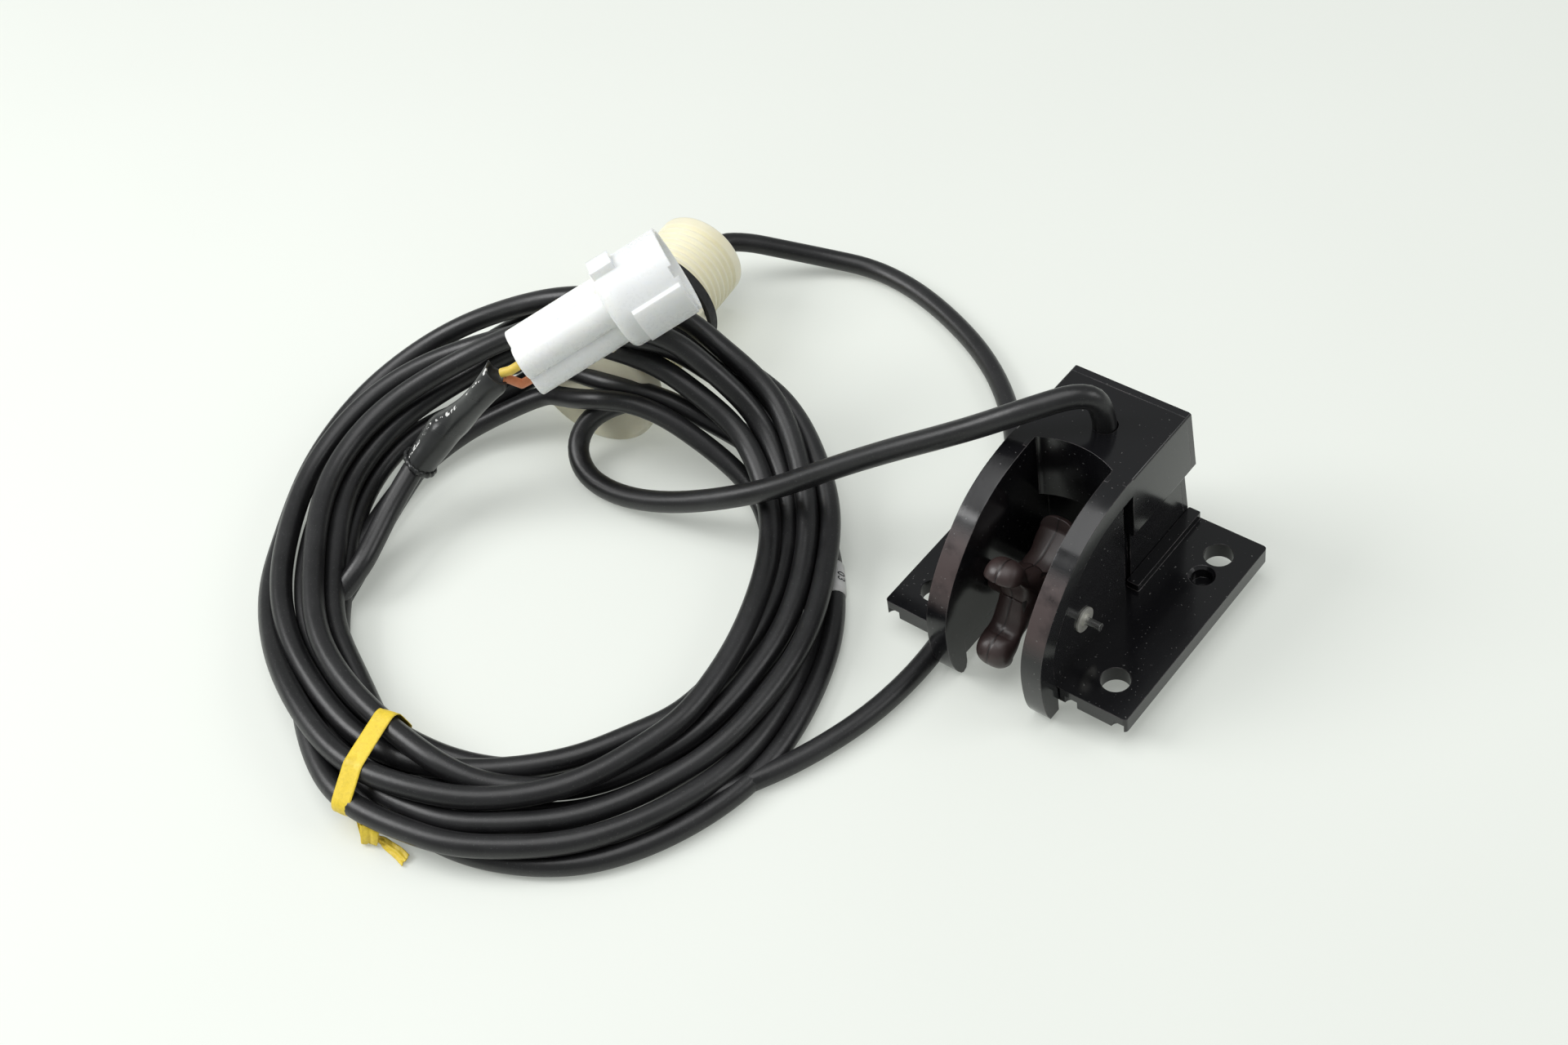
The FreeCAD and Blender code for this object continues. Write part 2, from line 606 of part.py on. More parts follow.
def cork_liner():
    floor = WINDOW_T - FLANGE_T
    top = floor + PIEZO_T
    sleeve = rod(STEM_BORE_R, (0, 0, floor), (0, 0, top + CORK_T))
    return on_stem(sleeve.cut(rod(PIEZO_R, (0, 0, floor - 1), (0, 0, top))))


def stem_potting():
    start = WINDOW_T - FLANGE_T + PIEZO_T + CORK_T
    return on_stem(rod(STEM_BORE_R, (0, 0, start), (0, 0, STEM_LENGTH - STEM_GLAND_T)))


def stem_gland():
    ring = rod(STEM_BORE_R, (0, 0, STEM_LENGTH - STEM_GLAND_T), (0, 0, STEM_LENGTH))
    return on_stem(ring.cut(rod(DEPTH_OD / 2, (0, 0, 0), (0, 0, STEM_LENGTH + 1))))


def hull_nut():
    nut = rod(NUT_R, (0, 0, NUT_START), (0, 0, NUT_START + NUT_T))
    nut = nut.makeChamfer(0.6, [e for e in nut.Edges if e.Closed and e.Length > 1])
    for i in range(NUT_GRIPS):
        a = 2 * math.pi * i / NUT_GRIPS
        reach = NUT_R + NUT_GRIP_R - NUT_GRIP_DEPTH
        x = reach * math.cos(a)
        y = reach * math.sin(a)
        nut = nut.cut(rod(NUT_GRIP_R, (x, y, NUT_START - 1), (x, y, NUT_START + NUT_T + 1)))
    return on_stem(nut.cut(rod(STEM_R + NUT_GAP, (0, 0, 0), (0, 0, STEM_LENGTH))))


def rubber_washer():
    start = NUT_START + NUT_T + WASHER_GAP
    ring = rod(WASHER_R, (0, 0, start), (0, 0, start + WASHER_T))
    return on_stem(ring.cut(rod(STEM_R + NUT_GAP, (0, 0, 0), (0, 0, STEM_LENGTH))))


# ---- plug -------------------------------------------------------------------
def plug_placement():
    """Local Z becomes the plug's axis, with its origin at the mouth."""
    turn = FreeCAD.Rotation(V(0, 0, 1), V(*PLUG_AXIS))
    roll = FreeCAD.Rotation(V(0, 0, 1), math.degrees(PLUG_ROLL))
    return FreeCAD.Placement(V(*PLUG_MOUTH), turn.multiply(roll))


def on_plug(shape):
    shape.Placement = plug_placement().multiply(shape.Placement)
    return shape


def ring_places(radius, count):
    """Evenly spaced (x, y) places on a circle about the plug's axis."""
    turns = [2 * math.pi / count * (i + 0.5) + LOBE_TURN for i in range(count)]
    return [(radius * math.cos(turn), radius * math.sin(turn)) for turn in turns]


def about_axis(shape, degrees):
    """The shape turned about the plug's axis."""
    shape.rotate(V(0, 0, 0), V(0, 0, 1), degrees)
    return shape


def plug_shell():
    rear = -SHROUD_LENGTH - LOBE_LENGTH
    shell = rod(SHROUD_R, (0, 0, -SHROUD_LENGTH), (0, 0, 0))
    shell = shell.makeFillet(SHROUD_ROUND, [e for e in shell.Edges if e.BoundBox.ZMax < -1])
    lug = rod(SHROUD_R + LUG_H, (0, 0, -LUG_LENGTH), (0, 0, -0.6))
    lug = lug.common(box(-LUG_W / 2, LUG_W / 2, 0, SHROUD_R + LUG_H + 1, -LUG_LENGTH, 0))
    latch = box(-LATCH_W / 2, LATCH_W / 2, -SHROUD_R - LATCH_H, 0,
                -SHROUD_LENGTH + 1, -SHROUD_LENGTH + 1 + LATCH_LENGTH)
    shell = shell.fuse([about_axis(lug, LUG_TURN), about_axis(latch, LATCH_TURN)])
    socket = rod(SHROUD_R - SHROUD_WALL, (0, 0, SHROUD_FLOOR - SHROUD_LENGTH), (0, 0, 1))
    shell = shell.cut(socket)
    slot = box(SHROUD_R - SHROUD_WALL - 1, SHROUD_R + 1, -SLOT_W / 2, SLOT_W / 2, -SLOT_L, 1)
    shell = shell.cut(about_axis(slot, SLOT_TURN))
    for x, y in ring_places(LOBE_CENTRE_R, LOBES):
        lobe = rod(LOBE_R, (x, y, rear), (x, y, -SHROUD_LENGTH + 1))
        shell = shell.fuse(lobe.makeFillet(0.6, [e for e in lobe.Edges if e.BoundBox.ZMax < rear + 1]))
    for x, y in ring_places(LOBE_CENTRE_R, LOBES):
        shell = shell.cut(rod(WIRE_BORE_R, (x, y, rear - 1), (x, y, rear + WIRE_BORE_DEPTH)))
    for x, y in ring_places(PIN_RING_R, LOBES):
        shell = shell.cut(rod(PIN_R, (x, y, SHROUD_FLOOR - SHROUD_LENGTH - PIN_SEAT),
                              (x, y, SHROUD_FLOOR - SHROUD_LENGTH + 1)))
    return on_plug(shell.removeSplitter())


def contact_pins():
    start = SHROUD_FLOOR - SHROUD_LENGTH - PIN_SEAT
    pins = [rod(PIN_R, (x, y, start), (x, y, start + PIN_LENGTH))
            for x, y in ring_places(PIN_RING_R, LOBES)]
    return on_plug(Part.Compound(pins))


def plug_point(local):
    """A plug point in the row's frame."""
    at = plug_placement().multVec(V(*local))
    return (at.x, at.y, at.z)


def wire(index):
    """One wire from inside its lobe to inside the heat-shrink sleeve."""
    x, y = ring_places(LOBE_CENTRE_R, LOBES)[index]
    rear = -SHROUD_LENGTH - LOBE_LENGTH
    start = plug_point((x, y, rear + WIRE_SEAT))
    out = plug_point((x * 0.9, y * 0.9, rear - 3.0))
    near = SLEEVE_SECTIONS[-1]
    spread = 0.34
    end = (near[0] + spread * (out[0] - near[0]), near[1] + spread * (out[1] - near[1]),
           near[2] + spread * (out[2] - near[2]))
    first = rod(WIRE_R, start, out)
    ball = Part.makeSphere(WIRE_R, V(*out))
    return first.fuse([ball, rod(WIRE_R, out, end)]).removeSplitter()


def sleeve_frames():
    """Centre, axis and half sizes of each section of the sleeve."""
    centres = [V(*s[:3]) for s in SLEEVE_SECTIONS]
    frames = []
    for i, s in enumerate(SLEEVE_SECTIONS):
        axis = centres[min(i + 1, len(centres) - 1)] - centres[max(i - 1, 0)]
        frames.append((centres[i], axis.normalize(), s[3], s[4]))
    return frames


def oval(centre, axis, half_wide, half_deep):
    """An oval section across the axis, with its depth along SLEEVE_DEEP."""
    wide = axis.cross(V(*SLEEVE_DEEP)).normalize()
    deep = wide.cross(axis).normalize()
    frame = FreeCAD.Matrix(wide.x, deep.x, axis.x, centre.x, wide.y, deep.y, axis.y, centre.y,
                           wide.z, deep.z, axis.z, centre.z, 0, 0, 0, 1)
    points = []
    for i in range(24):
        a = 2 * math.pi * i / 24
        points.append(frame.multVec(V(half_wide * math.cos(a), half_deep * math.sin(a), 0)))
    ring = Part.BSplineCurve()
    ring.interpolate(points, True)
    return Part.Wire(ring.toShape())


def heat_shrink_sleeve():
    sections = [oval(*frame) for frame in sleeve_frames()]
    return Part.makeLoft(sections, True, False)


def sleeve_tie():
    centre, axis, wide, deep = sleeve_frames()[0]
    outer = Part.Face(oval(centre, axis, wide + SLEEVE_TIE_T, deep + SLEEVE_TIE_T))
    inner = Part.Face(oval(centre, axis, wide, deep))
    return outer.cut(inner).extrude(axis * -SLEEVE_TIE_W)


# ---- cables, coil and tie ---------------------------------------------------
def speed_cable():
    start = (CABLE_HOLE_X, CABLE_HOLE_Y, CAVITY_ROOF)
    return tube((start,) + SPEED_PATH + (SPEED_END,), SPEED_OD)


def depth_cable():
    place = transducer_placement()
    seat = place.multVec(V(0, 0, STEM_LENGTH - STEM_GLAND_T))
    return tube((tuple(seat),) + DEPTH_PATH + (DEPTH_END,), DEPTH_OD)


def speed_cable_tail():
    return tube((TAIL_START,) + TAIL_PATH + (TAIL_END,), SPEED_OD)


def depth_cable_tail():
    return tube((DEPTH_TAIL_START,) + DEPTH_TAIL_PATH + (DEPTH_TAIL_END,), DEPTH_OD)


def coil_section(edge, low, high, other, gap):
    """One six-cornered section between a bevelled outside edge and an inside edge."""
    ex, ey = edge
    ox, oy = other
    reach = math.hypot(ox - ex, oy - ey)
    ux = (ox - ex) / reach
    uy = (oy - ey) / reach
    bevel = COIL_BEVEL * min(high - low, reach)
    near = (ex + ux * bevel, ey + uy * bevel)
    far = (ox - ux * gap, oy - uy * gap)
    return [(*near, low), (ex, ey, low + bevel), (ex, ey, high - bevel), (*near, high),
            (*far, high), (*far, low)]


def cable_coil_outer():
    rings = [coil_section((x, y), low, high, COIL_MIDDLE[i], COIL_GAP)
             for i, (x, y, low, high) in enumerate(COIL_OUTER)]
    return faceted(rings)


def cable_coil_inner():
    middle = list(COIL_MIDDLE)
    for i, x, y in COIL_INNER_SPLIT:
        middle[i] = (x, y)
    rings = [coil_section((x, y), low, high, middle[i], COIL_GAP)
             for i, (x, y, low, high) in enumerate(COIL_INNER)]
    return faceted(rings)


def twist_tie():
    """A flat strip once round the bundle, its ends twisted together outside."""
    half = TIE_W / 2
    deep = TIE_SPAN / 2
    low = FLOOR + TIE_T
    loop = box(-half, half, -deep - TIE_T, deep + TIE_T, low - TIE_T, TIE_TOP + TIE_T)
    loop = loop.cut(box(-half - 1, half + 1, -deep, deep, low, TIE_TOP))
    tail = box(-half, half + TIE_TAIL, -deep - 2 * TIE_T, -deep - TIE_T, FLOOR, FLOOR + TIE_W)
    tie = loop.fuse(tail).removeSplitter()
    tie.rotate(V(0, 0, 0), V(0, 0, 1), TIE_TURN)
    tie.translate(V(*TIE_AT, 0))
    return tie


def cable_marker():
    """A short printed sleeve shrunk on the outermost turn."""
    outer = rod(SPEED_OD / 2 + MARKER_T, MARKER_FROM, MARKER_TO)
    return outer.cut(rod(SPEED_OD / 2, MARKER_FROM, MARKER_TO))


def wire_yellow():
    return wire(0)


def wire_orange():
    return wire(1)


def wire_black():
    return wire(2)


NODES = (bracket_plate, sensor_body, end_cap, hall_board, hall_chip, body_potting, body_screws,
         axle_pin, push_nut, paddle_wheel, wheel_magnets, transducer_housing, piezo_disc,
         cork_liner, stem_potting, stem_gland, hull_nut, rubber_washer, plug_shell, contact_pins,
         wire_yellow, wire_orange, wire_black, heat_shrink_sleeve, sleeve_tie, speed_cable,
         depth_cable, speed_cable_tail, depth_cable_tail, cable_coil_outer, cable_coil_inner,
         twist_tie, cable_marker)


def main():
    os.makedirs("parts", exist_ok=True)
    for make in NODES:
        make().exportStep("parts/" + make.__name__ + ".step")


main()
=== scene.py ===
"""A boat's depth and speed transducer set: cords, tie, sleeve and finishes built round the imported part.

Lengths in the tables are millimetres in the part's own frame, and are scaled to metres where
they go into a mesh or a curve. Lengths in materials, lamps and modifiers are metres.
"""

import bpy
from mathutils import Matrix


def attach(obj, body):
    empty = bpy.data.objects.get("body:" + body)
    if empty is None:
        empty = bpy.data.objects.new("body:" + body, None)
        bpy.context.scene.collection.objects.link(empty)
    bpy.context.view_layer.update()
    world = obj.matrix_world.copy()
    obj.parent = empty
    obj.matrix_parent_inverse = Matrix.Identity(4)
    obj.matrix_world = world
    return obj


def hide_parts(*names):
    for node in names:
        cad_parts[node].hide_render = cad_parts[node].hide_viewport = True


bl_info = {
    "name": "Transducer Set",
    "version": (1, 0, 0),
    "blender": (4, 5, 0),
    "location": "View3D > Sidebar > Transducer Set",
    "description": "Builds the cables, tie, sleeve and finishes of a depth and speed transducer set",
    "category": "Object",
}

import math

import bpy
import numpy as np
from mathutils import Matrix

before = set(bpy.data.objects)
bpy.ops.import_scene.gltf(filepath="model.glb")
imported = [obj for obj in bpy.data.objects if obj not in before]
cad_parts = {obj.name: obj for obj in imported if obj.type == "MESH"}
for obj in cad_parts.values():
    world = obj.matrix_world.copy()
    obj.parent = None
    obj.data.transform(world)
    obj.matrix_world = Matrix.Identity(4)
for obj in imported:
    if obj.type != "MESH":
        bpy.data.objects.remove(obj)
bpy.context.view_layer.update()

MM = 0.001
TABLE_TOP = -5.4
FLOOR_GLOW = 0.3
FLOOR_GLOW_FROM = 0.45
FLOOR_GLOW_TO = 1.6
FLOOR_REACH = 12000.0
FLOOR_PALE = (0.86, 0.89, 0.84)
FLOOR_SHADE = (0.83, 0.86, 0.81)
GLOW_COLOUR = (0.84, 0.88, 0.81, 1)
WORLD_GREY = (0.28, 0.285, 0.29, 1)
WORLD_WHITE = (0.90, 0.95, 0.88, 1)
GLOSSY_SHARE = 0.12
SHARP_TURN = math.radians(32)

# ---- where the camera stands -------------------------------------------------
CAMERA_AT = (209.38, -291.59, 414.65)
CAMERA_RIGHT = (0.778, 0.615, -0.127)
CAMERA_AHEAD = (-0.494, 0.475, -0.728)
CAMERA_LENS = 53.0

# ---- free runs of the two cables ------------------------------------------------
SPEED_LEAD = (
    (1.2, 12.4, 39.4), (1.2, 12.4, 49.2), (-2.4, 9.5, 54.2), (-11.9, 0.2, 51.6),
    (-21.2, -4.4, 46.0), (-31.1, -8.0, 40.0), (-42.6, -11.9, 33.2), (-56.0, -16.6, 24.6),
    (-72.5, -23.6, 13.6), (-89.5, -30.0, 6.0), (-104.2, -33.5, 0.6), (-117.5, -34.8, -2.4),
    (-128.5, -33.6, -2.2), (-135.6, -28.2, 0.4), (-134.0, -21.8, 6.6),
)
DEPTH_LEAD = (
    (-144.6, 31.3, 10.8), (-146.6, 43.2, 10.1), (-141.0, 50.0, 8.2), (-133.0, 56.4, 4.0),
    (-123.4, 63.4, -0.4), (-112.0, 68.4, -2.7), (-98.0, 67.6, -2.8), (-82.6, 63.2, -2.8),
    (-66.7, 56.2, -2.8), (-53.2, 46.9, -2.8), (-41.6, 35.0, -2.8), (-32.4, 21.4, -2.8),
    (-25.6, 6.0, -2.8), (-20.8, -10.6, -2.8), (-18.9, -25.0, -2.8), (-17.9, -40.0, -2.8),
    (-19.4, -55.5, -2.8), (-23.8, -70.6, -2.8), (-29.4, -83.0, -2.8),
)
SPEED_TAIL = ((-150.2, -92.0, 4.2), (-152.7, -83.0, 6.2), (-155.1, -73.6, 8.9), (-155.8, -64.2, 12.4))
DEPTH_TAIL = ((-155.0, -88.0, -0.4), (-157.2, -79.0, 2.0), (-158.4, -69.6, 5.2), (-157.9, -59.9, 9.6))

# ---- the coil: its two edges at the stations round it, and each cable's lanes ------
COIL_RIM = (
    (-56.9, -24.4, -1.5), (-40.5, -47.7, -2.4), (-32.5, -77.4, -2.4), (-36.1, -102.5, -2.4),
    (-48.2, -123, -2.4), (-67.6, -135, -2.4), (-87.2, -139.1, -2.4), (-112.9, -139.3, -2),
    (-143.5, -124.5, -1), (-165.3, -108.9, -1), (-177.9, -92.4, 0), (-188.3, -70.1, 2),
    (-188, -45.8, 8), (-173.4, -25.7, 19), (-144.5, -16.6, 33), (-118, -8, 35),
    (-103.3, -4, 28), (-88.3, -0.2, 14), (-69.9, -10.9, 4),
)
COIL_EYE = (
    (-68.4, -33.1, -1.5), (-59.3, -55.1, -2.4), (-56.4, -76.8, -2.4), (-61.3, -91.3, -2.4),
    (-69, -104.3, -2.4), (-80.9, -115.1, -2.4), (-93.8, -121.3, -1), (-111.1, -121.2, 0),
    (-132.9, -114.5, 0), (-147.7, -103.8, 0), (-159.8, -82.7, 0), (-166, -64.5, 0),
    (-165.4, -49.6, 1), (-158.4, -35.8, 3), (-145.9, -22.9, 14), (-127, -25, 16),
    (-109, -18, 12), (-94.9, -14.3, 5), (-81.4, -18.5, -1),
)
# A lane's entries: station counted on through the turns, share of the way from
# the rim to the eye, and lift above the line between them.
SPEED_LANE = (
    (15.2, 0.80, -6), (16, 0.80, -5), (17, 0.55, -5), (18, 0.45, -4), (19, 0.45, -1), (21, 0.45, 0),
    (23, 0.50, 0), (25, 0.60, 0), (26.2, 0.85, 0), (27.6, 1.05, 1), (28, 1.00, 1.5), (29, 0.66, 3),
    (30, 0.49, 3), (31, 0.47, 3), (32, 0.45, 0), (33, 0.30, -4), (34.3, 0.20, -3), (35, 0.43, -2),
    (35.8, 0.55, 2), (37.5, 0.92, 5), (38, 1.0, 6), (40, 1.0, 6), (41, 0.90, 6), (42, 0.82, 6.5),
    (43, 0.75, 7), (44, 0.61, 7.5), (45.1, 0.40, 7.5), (45.5, 0.21, 7.5), (46.2, -0.05, 6),
    (47, -0.09, 3), (47.9, -0.05, 1), (49.3, -0.09, 1), (50, -0.12, 0), (50.67, -0.055, -2),
    (51.6, -0.02, -5), (52.5, -0.05, -9), (54, -0.10, -9), (54.8, 0, -4), (56.5, 0.18, 2),
    (57, 0.27, 3), (57.5, 0.40, 3), (58, 0.57, 3), (58.5, 0.67, 3), (59, 0.71, 3), (60, 0.71, 3),
    (61, 0.72, 3), (62, 0.86, 3), (63, 1.02, 3), (64, 1.09, 2.5), (66, 0.80, 4.5), (67, 0.44, 5),
    (68, 0.27, 4), (69, 0.26, 3), (69.67, 0.33, 2), (70.5, 0.28, -1), (72.3, 0.07, -5),
    (73.8, 0.285, 0), (75.5, 0.57, 4), (76, 0.67, 4), (76.5, 0.78, 3.5), (77, 0.88, 2.5),
    (78.1, 1.02, 2), (79, 1.03, 2), (81, 1.03, 2), (82, 0.94, 3), (83.1, 0.68, 4),
    (83.5, 0.57, 4.5), (84.3, 0.35, 5), (85, 0.21, 6), (86, 0.05, 5.5), (87, 0, 4), (88, 0.02, 3),
    (88.67, 0.14, 1), (89.4, 0.27, -2), (90.5, 0.22, -7), (92, 0.20, -9), (93.5, 0.10, -5),
    (95, 0.04, -1), (95.9, 0.14, 1), (96.2, 0.16, 2), (97, 0.18, 2.5), (98, 0.215, 2.5),
    (99, 0.226, 2.5), (100, 0.16, 3), (101, 0.04, 4), (102.1, -0.02, 4), (102.6, -0.08, 2),
    (103.2, 0.25, -0.5), (103.8, 0.68, 1), (104.3, 0.92, 4),
)
DEPTH_LANE = (
    (3.1, 0.03, 0), (4, 0.12, 0), (5, 0.22, 0), (6, 0.33, 0), (7, 0.55, 0), (8, 0.85, 0),
    (8.9, 1.12, 1), (10, 0.77, 1), (11, 0.69, 1), (12, 0.65, 1), (12.6, 0.72, 0), (13.2, 0.84, -1),
    (13.6, 0.88, -1), (14, 0.84, -2), (14.5, 0.80, -2), (15.3, 0.68, -2), (16.8, 0.81, -1),
    (17.6, 0.55, -3.5), (18.3, 0.20, -4), (19, -0.10, -1), (20, -0.04, 0), (21, -0.03, 0),
    (22, -0.01, 0), (23, 0, 0), (24.2, 0, 0.5), (25.2, 0.06, 0.5), (26.1, 0.13, 1), (26.5, 0, 1),
    (27.2, 0.15, -0.5), (28.2, 0.85, -0.5), (28.8, 1.05, 0), (31.3, 1.04, 0), (32, 0.84, 0),
    (32.6, 0.90, 0), (33, 1.66, 0), (33.4, 1.26, 0), (34, 0.70, 0), (34.5, 0.84, 0),
    (35.8, 1.10, 1), (36.7, 1.05, 0), (37.6, 0.95, -2), (38.5, 0.85, -1), (40, 0.82, 0),
    (42, 0.90, 0), (43.6, 1.04, 0.5), (44, 1.05, 1), (45.1, 0.95, 1.5), (45.5, 0.88, 2),
    (47, 0.53, 3), (48.2, 0.25, 2), (50, 0.35, -1), (52, 0.15, -8), (54, 0.02, -9),
    (55.6, -0.12, 0), (56.5, -0.10, 4), (57, 0.02, 4.5), (57.5, 0.17, 4.5), (58, 0.27, 4.5),
    (58.5, 0.32, 4), (59, 0.42, 3), (60, 0.46, 3), (61, 0.47, 3), (62, 0.41, 3.5), (63, 0.285, 4),
    (64.1, 0.22, 3), (64.8, 0.35, 0), (65.6, 0.75, 0), (66.3, 0.86, 1),
)
STATION_PARTS = 3
LANE_ROUNDING = 0.5
SPEED_LENGTH = 2.21
DEPTH_LENGTH = 1.72
LEAN = (0.679, -0.652, 1.0)
TIE_STATIONS = (5.6, 8.2)
TIE_FLOOR_RISE = 0.9
CORD_FLOOR_RISE = 0.05
CORD_ROOM = 1.045
SETTLE_ROUNDS = 500
LAST_FREE_ROUNDS = 30
SIDE_PULL = 0.2
SAG = 0.04
STIFFNESS = 0.2
PROPPED_STATIONS = (10.5, 17.5)

# ---- what the coil lies on and round: the transducer's stem, flange and nut -------
STEM_FOOT = (-136.5, -13.5, 13.2)
STEM_AXIS = (-0.1768, 0.9829, -0.0517)
STEM_R = 12.7
FLANGE_R = 18.6
FLANGE_T = 5.5
NUT_NEAR = 17.2
NUT_T = 6.0
TRANSDUCER_GAP = 0.15


class TransducerCables(bpy.types.PropertyGroup):
    """Sizes and colours of the cables and what holds them."""

    speed_diameter: bpy.props.FloatProperty(
        name="Speed cable diameter", description="Outside diameter of the paddlewheel sensor's cable",
        default=5.6 * MM, unit="LENGTH")
    depth_diameter: bpy.props.FloatProperty(
        name="Depth cable diameter", description="Outside diameter of the ultrasonic transducer's cable",
        default=5.2 * MM, unit="LENGTH")
    jacket: bpy.props.FloatVectorProperty(
        name="Jacket colour", description="Colour of both cable jackets", default=(0.007, 0.007, 0.0075),
        size=3, subtype="COLOR")
    tie_width: bpy.props.FloatProperty(
        name="Tie width", description="Width of the paper twist tie", default=4.8 * MM, unit="LENGTH")
    tie_colour: bpy.props.FloatVectorProperty(
        name="Tie colour", description="Colour of the twist tie's paper", default=(0.92, 0.68, 0.055),
        size=3, subtype="COLOR")
    sleeve_colour: bpy.props.FloatVectorProperty(
        name="Sleeve colour", description="Colour of the shrink sleeve behind the plug",
        default=(0.018, 0.019, 0.019), size=3, subtype="COLOR")


class TransducerBodies(bpy.types.PropertyGroup):
    """Colours of the moulded parts and the strength of the studio."""

    housing: bpy.props.FloatVectorProperty(
        name="Housing colour", description="Black moulding of the speed sensor and its plate",
        default=(0.006, 0.006, 0.007), size=3, subtype="COLOR")
    wheel: bpy.props.FloatVectorProperty(
        name="Wheel colour", description="Brown moulding of the paddlewheel", default=(0.027, 0.017, 0.016),
        size=3, subtype="COLOR")
    cream: bpy.props.FloatVectorProperty(
        name="Stem colour", description="Cream nylon of the depth transducer and its nut",
        default=(0.93, 0.89, 0.70), size=3, subtype="COLOR")
    shell: bpy.props.FloatVectorProperty(
        name="Plug colour", description="White nylon of the plug", default=(0.92, 0.94, 0.92),
        size=3, subtype="COLOR")
    overhead_power: bpy.props.FloatProperty(
        name="Overhead lamp", description="Power of the large overhead lamp, in watts", default=5.0, min=0)
    key_power: bpy.props.FloatProperty(
        name="Key lamp", description="Power of the smaller lamp on the left, in watts", default=4.6, min=0)
    fill_power: bpy.props.FloatProperty(
        name="Side lamp", description="Power of the side lamp, in watts", default=2.6, min=0)


# ---- numbers on grids ---------------------------------------------------------------
def unit(vectors):
    """Vectors divided by their own lengths."""
    vectors = np.asarray(vectors, float)
    return vectors / np.linalg.norm(vectors, axis=-1, keepdims=True)


def through(points, at, closed=False):
    """Points on the smooth cubic that passes through the given ones, at fractional places
    counted in points: each stretch blends its two ends and their two neighbours (Catmull-Rom)."""
    points = np.asarray(points, float)
    count = len(points)
    whole = np.floor(at).astype(int)
    if not closed:
        whole = np.clip(whole, 0, count - 2)
    part = (at - whole)[:, None]
    near = [whole + step for step in (-1, 0, 1, 2)]
    near = [n % count if closed else np.clip(n, 0, count - 1) for n in near]
    a, b, c, d = (points[n] for n in near)
    return 0.5 * (2 * b + (c - a) * part + (2 * a - 5 * b + 4 * c - d) * part ** 2
                  + (3 * b - a - 3 * c + d) * part ** 3)


def smoothed(values, spread):
    """Rows averaged with their neighbours under a bell curve of the given spread."""
    reach = int(math.ceil(3 * spread))
    bell = np.exp(-0.5 * (np.arange(-reach, reach + 1) / spread) ** 2)
    bell /= bell.sum()
    padded = np.concatenate([np.repeat(values[:1], reach, 0), values, np.repeat(values[-1:], reach, 0)])
    return np.stack([np.convolve(column, bell, "valid") for column in padded.T], 1)


def evenly(points, count):
    """The given line cut again into equal steps."""
    run = np.concatenate([[0], np.cumsum(np.linalg.norm(np.diff(points, axis=0), axis=1))])
    at = np.linspace(0, run[-1], count)
    return np.stack([np.interp(at, run, column) for column in points.T], 1)


def ripple(a, b, seed, octaves=3):
    """Smooth unevenness from -1 to 1: a sum of crossed sine waves of growing frequency."""
    draw = np.random.default_rng(seed)
    total = np.zeros(np.broadcast(a, b).shape)
    for octave in range(octaves):
        for _ in range(3):
            fa, fb = draw.uniform(0.6, 1.6, 2) * 2 ** octave * draw.choice([-1, 1], 2)
            total = total + np.sin(fa * a + fb * b + draw.uniform(0, 2 * math.pi)) / 2 ** octave
    return total / (3 * sum(0.5 ** o for o in range(octaves)))


def surface(name, grid, closed_across=True, capped=False):
    """A mesh from a grid of points in millimetres: rows run along the piece, columns across it,
    and each cell is one face. Its UV map holds the two grid parameters from 0 to 1."""
    rows, columns = grid.shape[:2]
    number = np.arange(rows * columns).reshape(rows, columns)
    if closed_across:
        number = np.hstack([number, number[:, :1]])
    r, c = np.meshgrid(np.arange(rows - 1), np.arange(number.shape[1] - 1), indexing="ij")
    corner_r = np.stack([r, r + 1, r + 1, r], -1).reshape(-1, 4)
    corner_c = np.stack([c, c, c + 1, c + 1], -1).reshape(-1, 4)
    faces = number[corner_r, corner_c].tolist()
    uv = np.stack([corner_r / (rows - 1), corner_c / (number.shape[1] - 1)], -1).reshape(-1, 2)
    if capped:
        faces += [number[0, :columns].tolist(), number[-1, :columns][::-1].tolist()]
        uv = np.concatenate([uv, np.zeros((2 * columns, 2))])
    mesh = bpy.data.meshes.new(name)
    mesh.from_pydata((grid.reshape(-1, 3) * MM).tolist(), [], faces)
    mesh.uv_layers.new(name="UVMap").data.foreach_set("uv", uv.astype(np.float32).ravel())
    mesh.shade_smooth()
    piece = bpy.data.objects.new(name, mesh)
    bpy.context.scene.collection.objects.link(piece)
    return piece


def carried(path, section, side_hint):
    """A grid: the section, given as side and rise distances, carried along the path. The side
    direction is the hint with its share along the path taken off, and the rise is square to both."""
    ahead = unit(np.gradient(path, axis=0))
    hint = np.broadcast_to(np.asarray(side_hint, float), path.shape)
    side = unit(hint - (hint * ahead).sum(-1, keepdims=True) * ahead)
    rise = np.cross(ahead, side)
    return path[:, None] + section[..., :1] * side[:, None] + section[..., 1:] * rise[:, None]


# ---- materials: expressions on sockets --------------------------------------------
class Signal:
    """One output socket; arithmetic on it adds Math nodes."""

    def __init__(self, finish, socket):
        self.finish = finish
        self.socket = socket

    def maths(self, operation, *values):
        return self.finish.node("ShaderNodeMath", {"operation": operation}, dict(enumerate(values)))

    def __add__(self, other):
        return self.maths("ADD", self, other)

    __radd__ = __add__

    def __sub__(self, other):
        return self.maths("SUBTRACT", self, other)

    def __rsub__(self, other):
        return self.maths("SUBTRACT", other, self)

    def __mul__(self, other):
        return self.maths("MULTIPLY", self, other)

    __rmul__ = __mul__

    def __lt__(self, other):
        return self.maths("LESS_THAN", self, other)


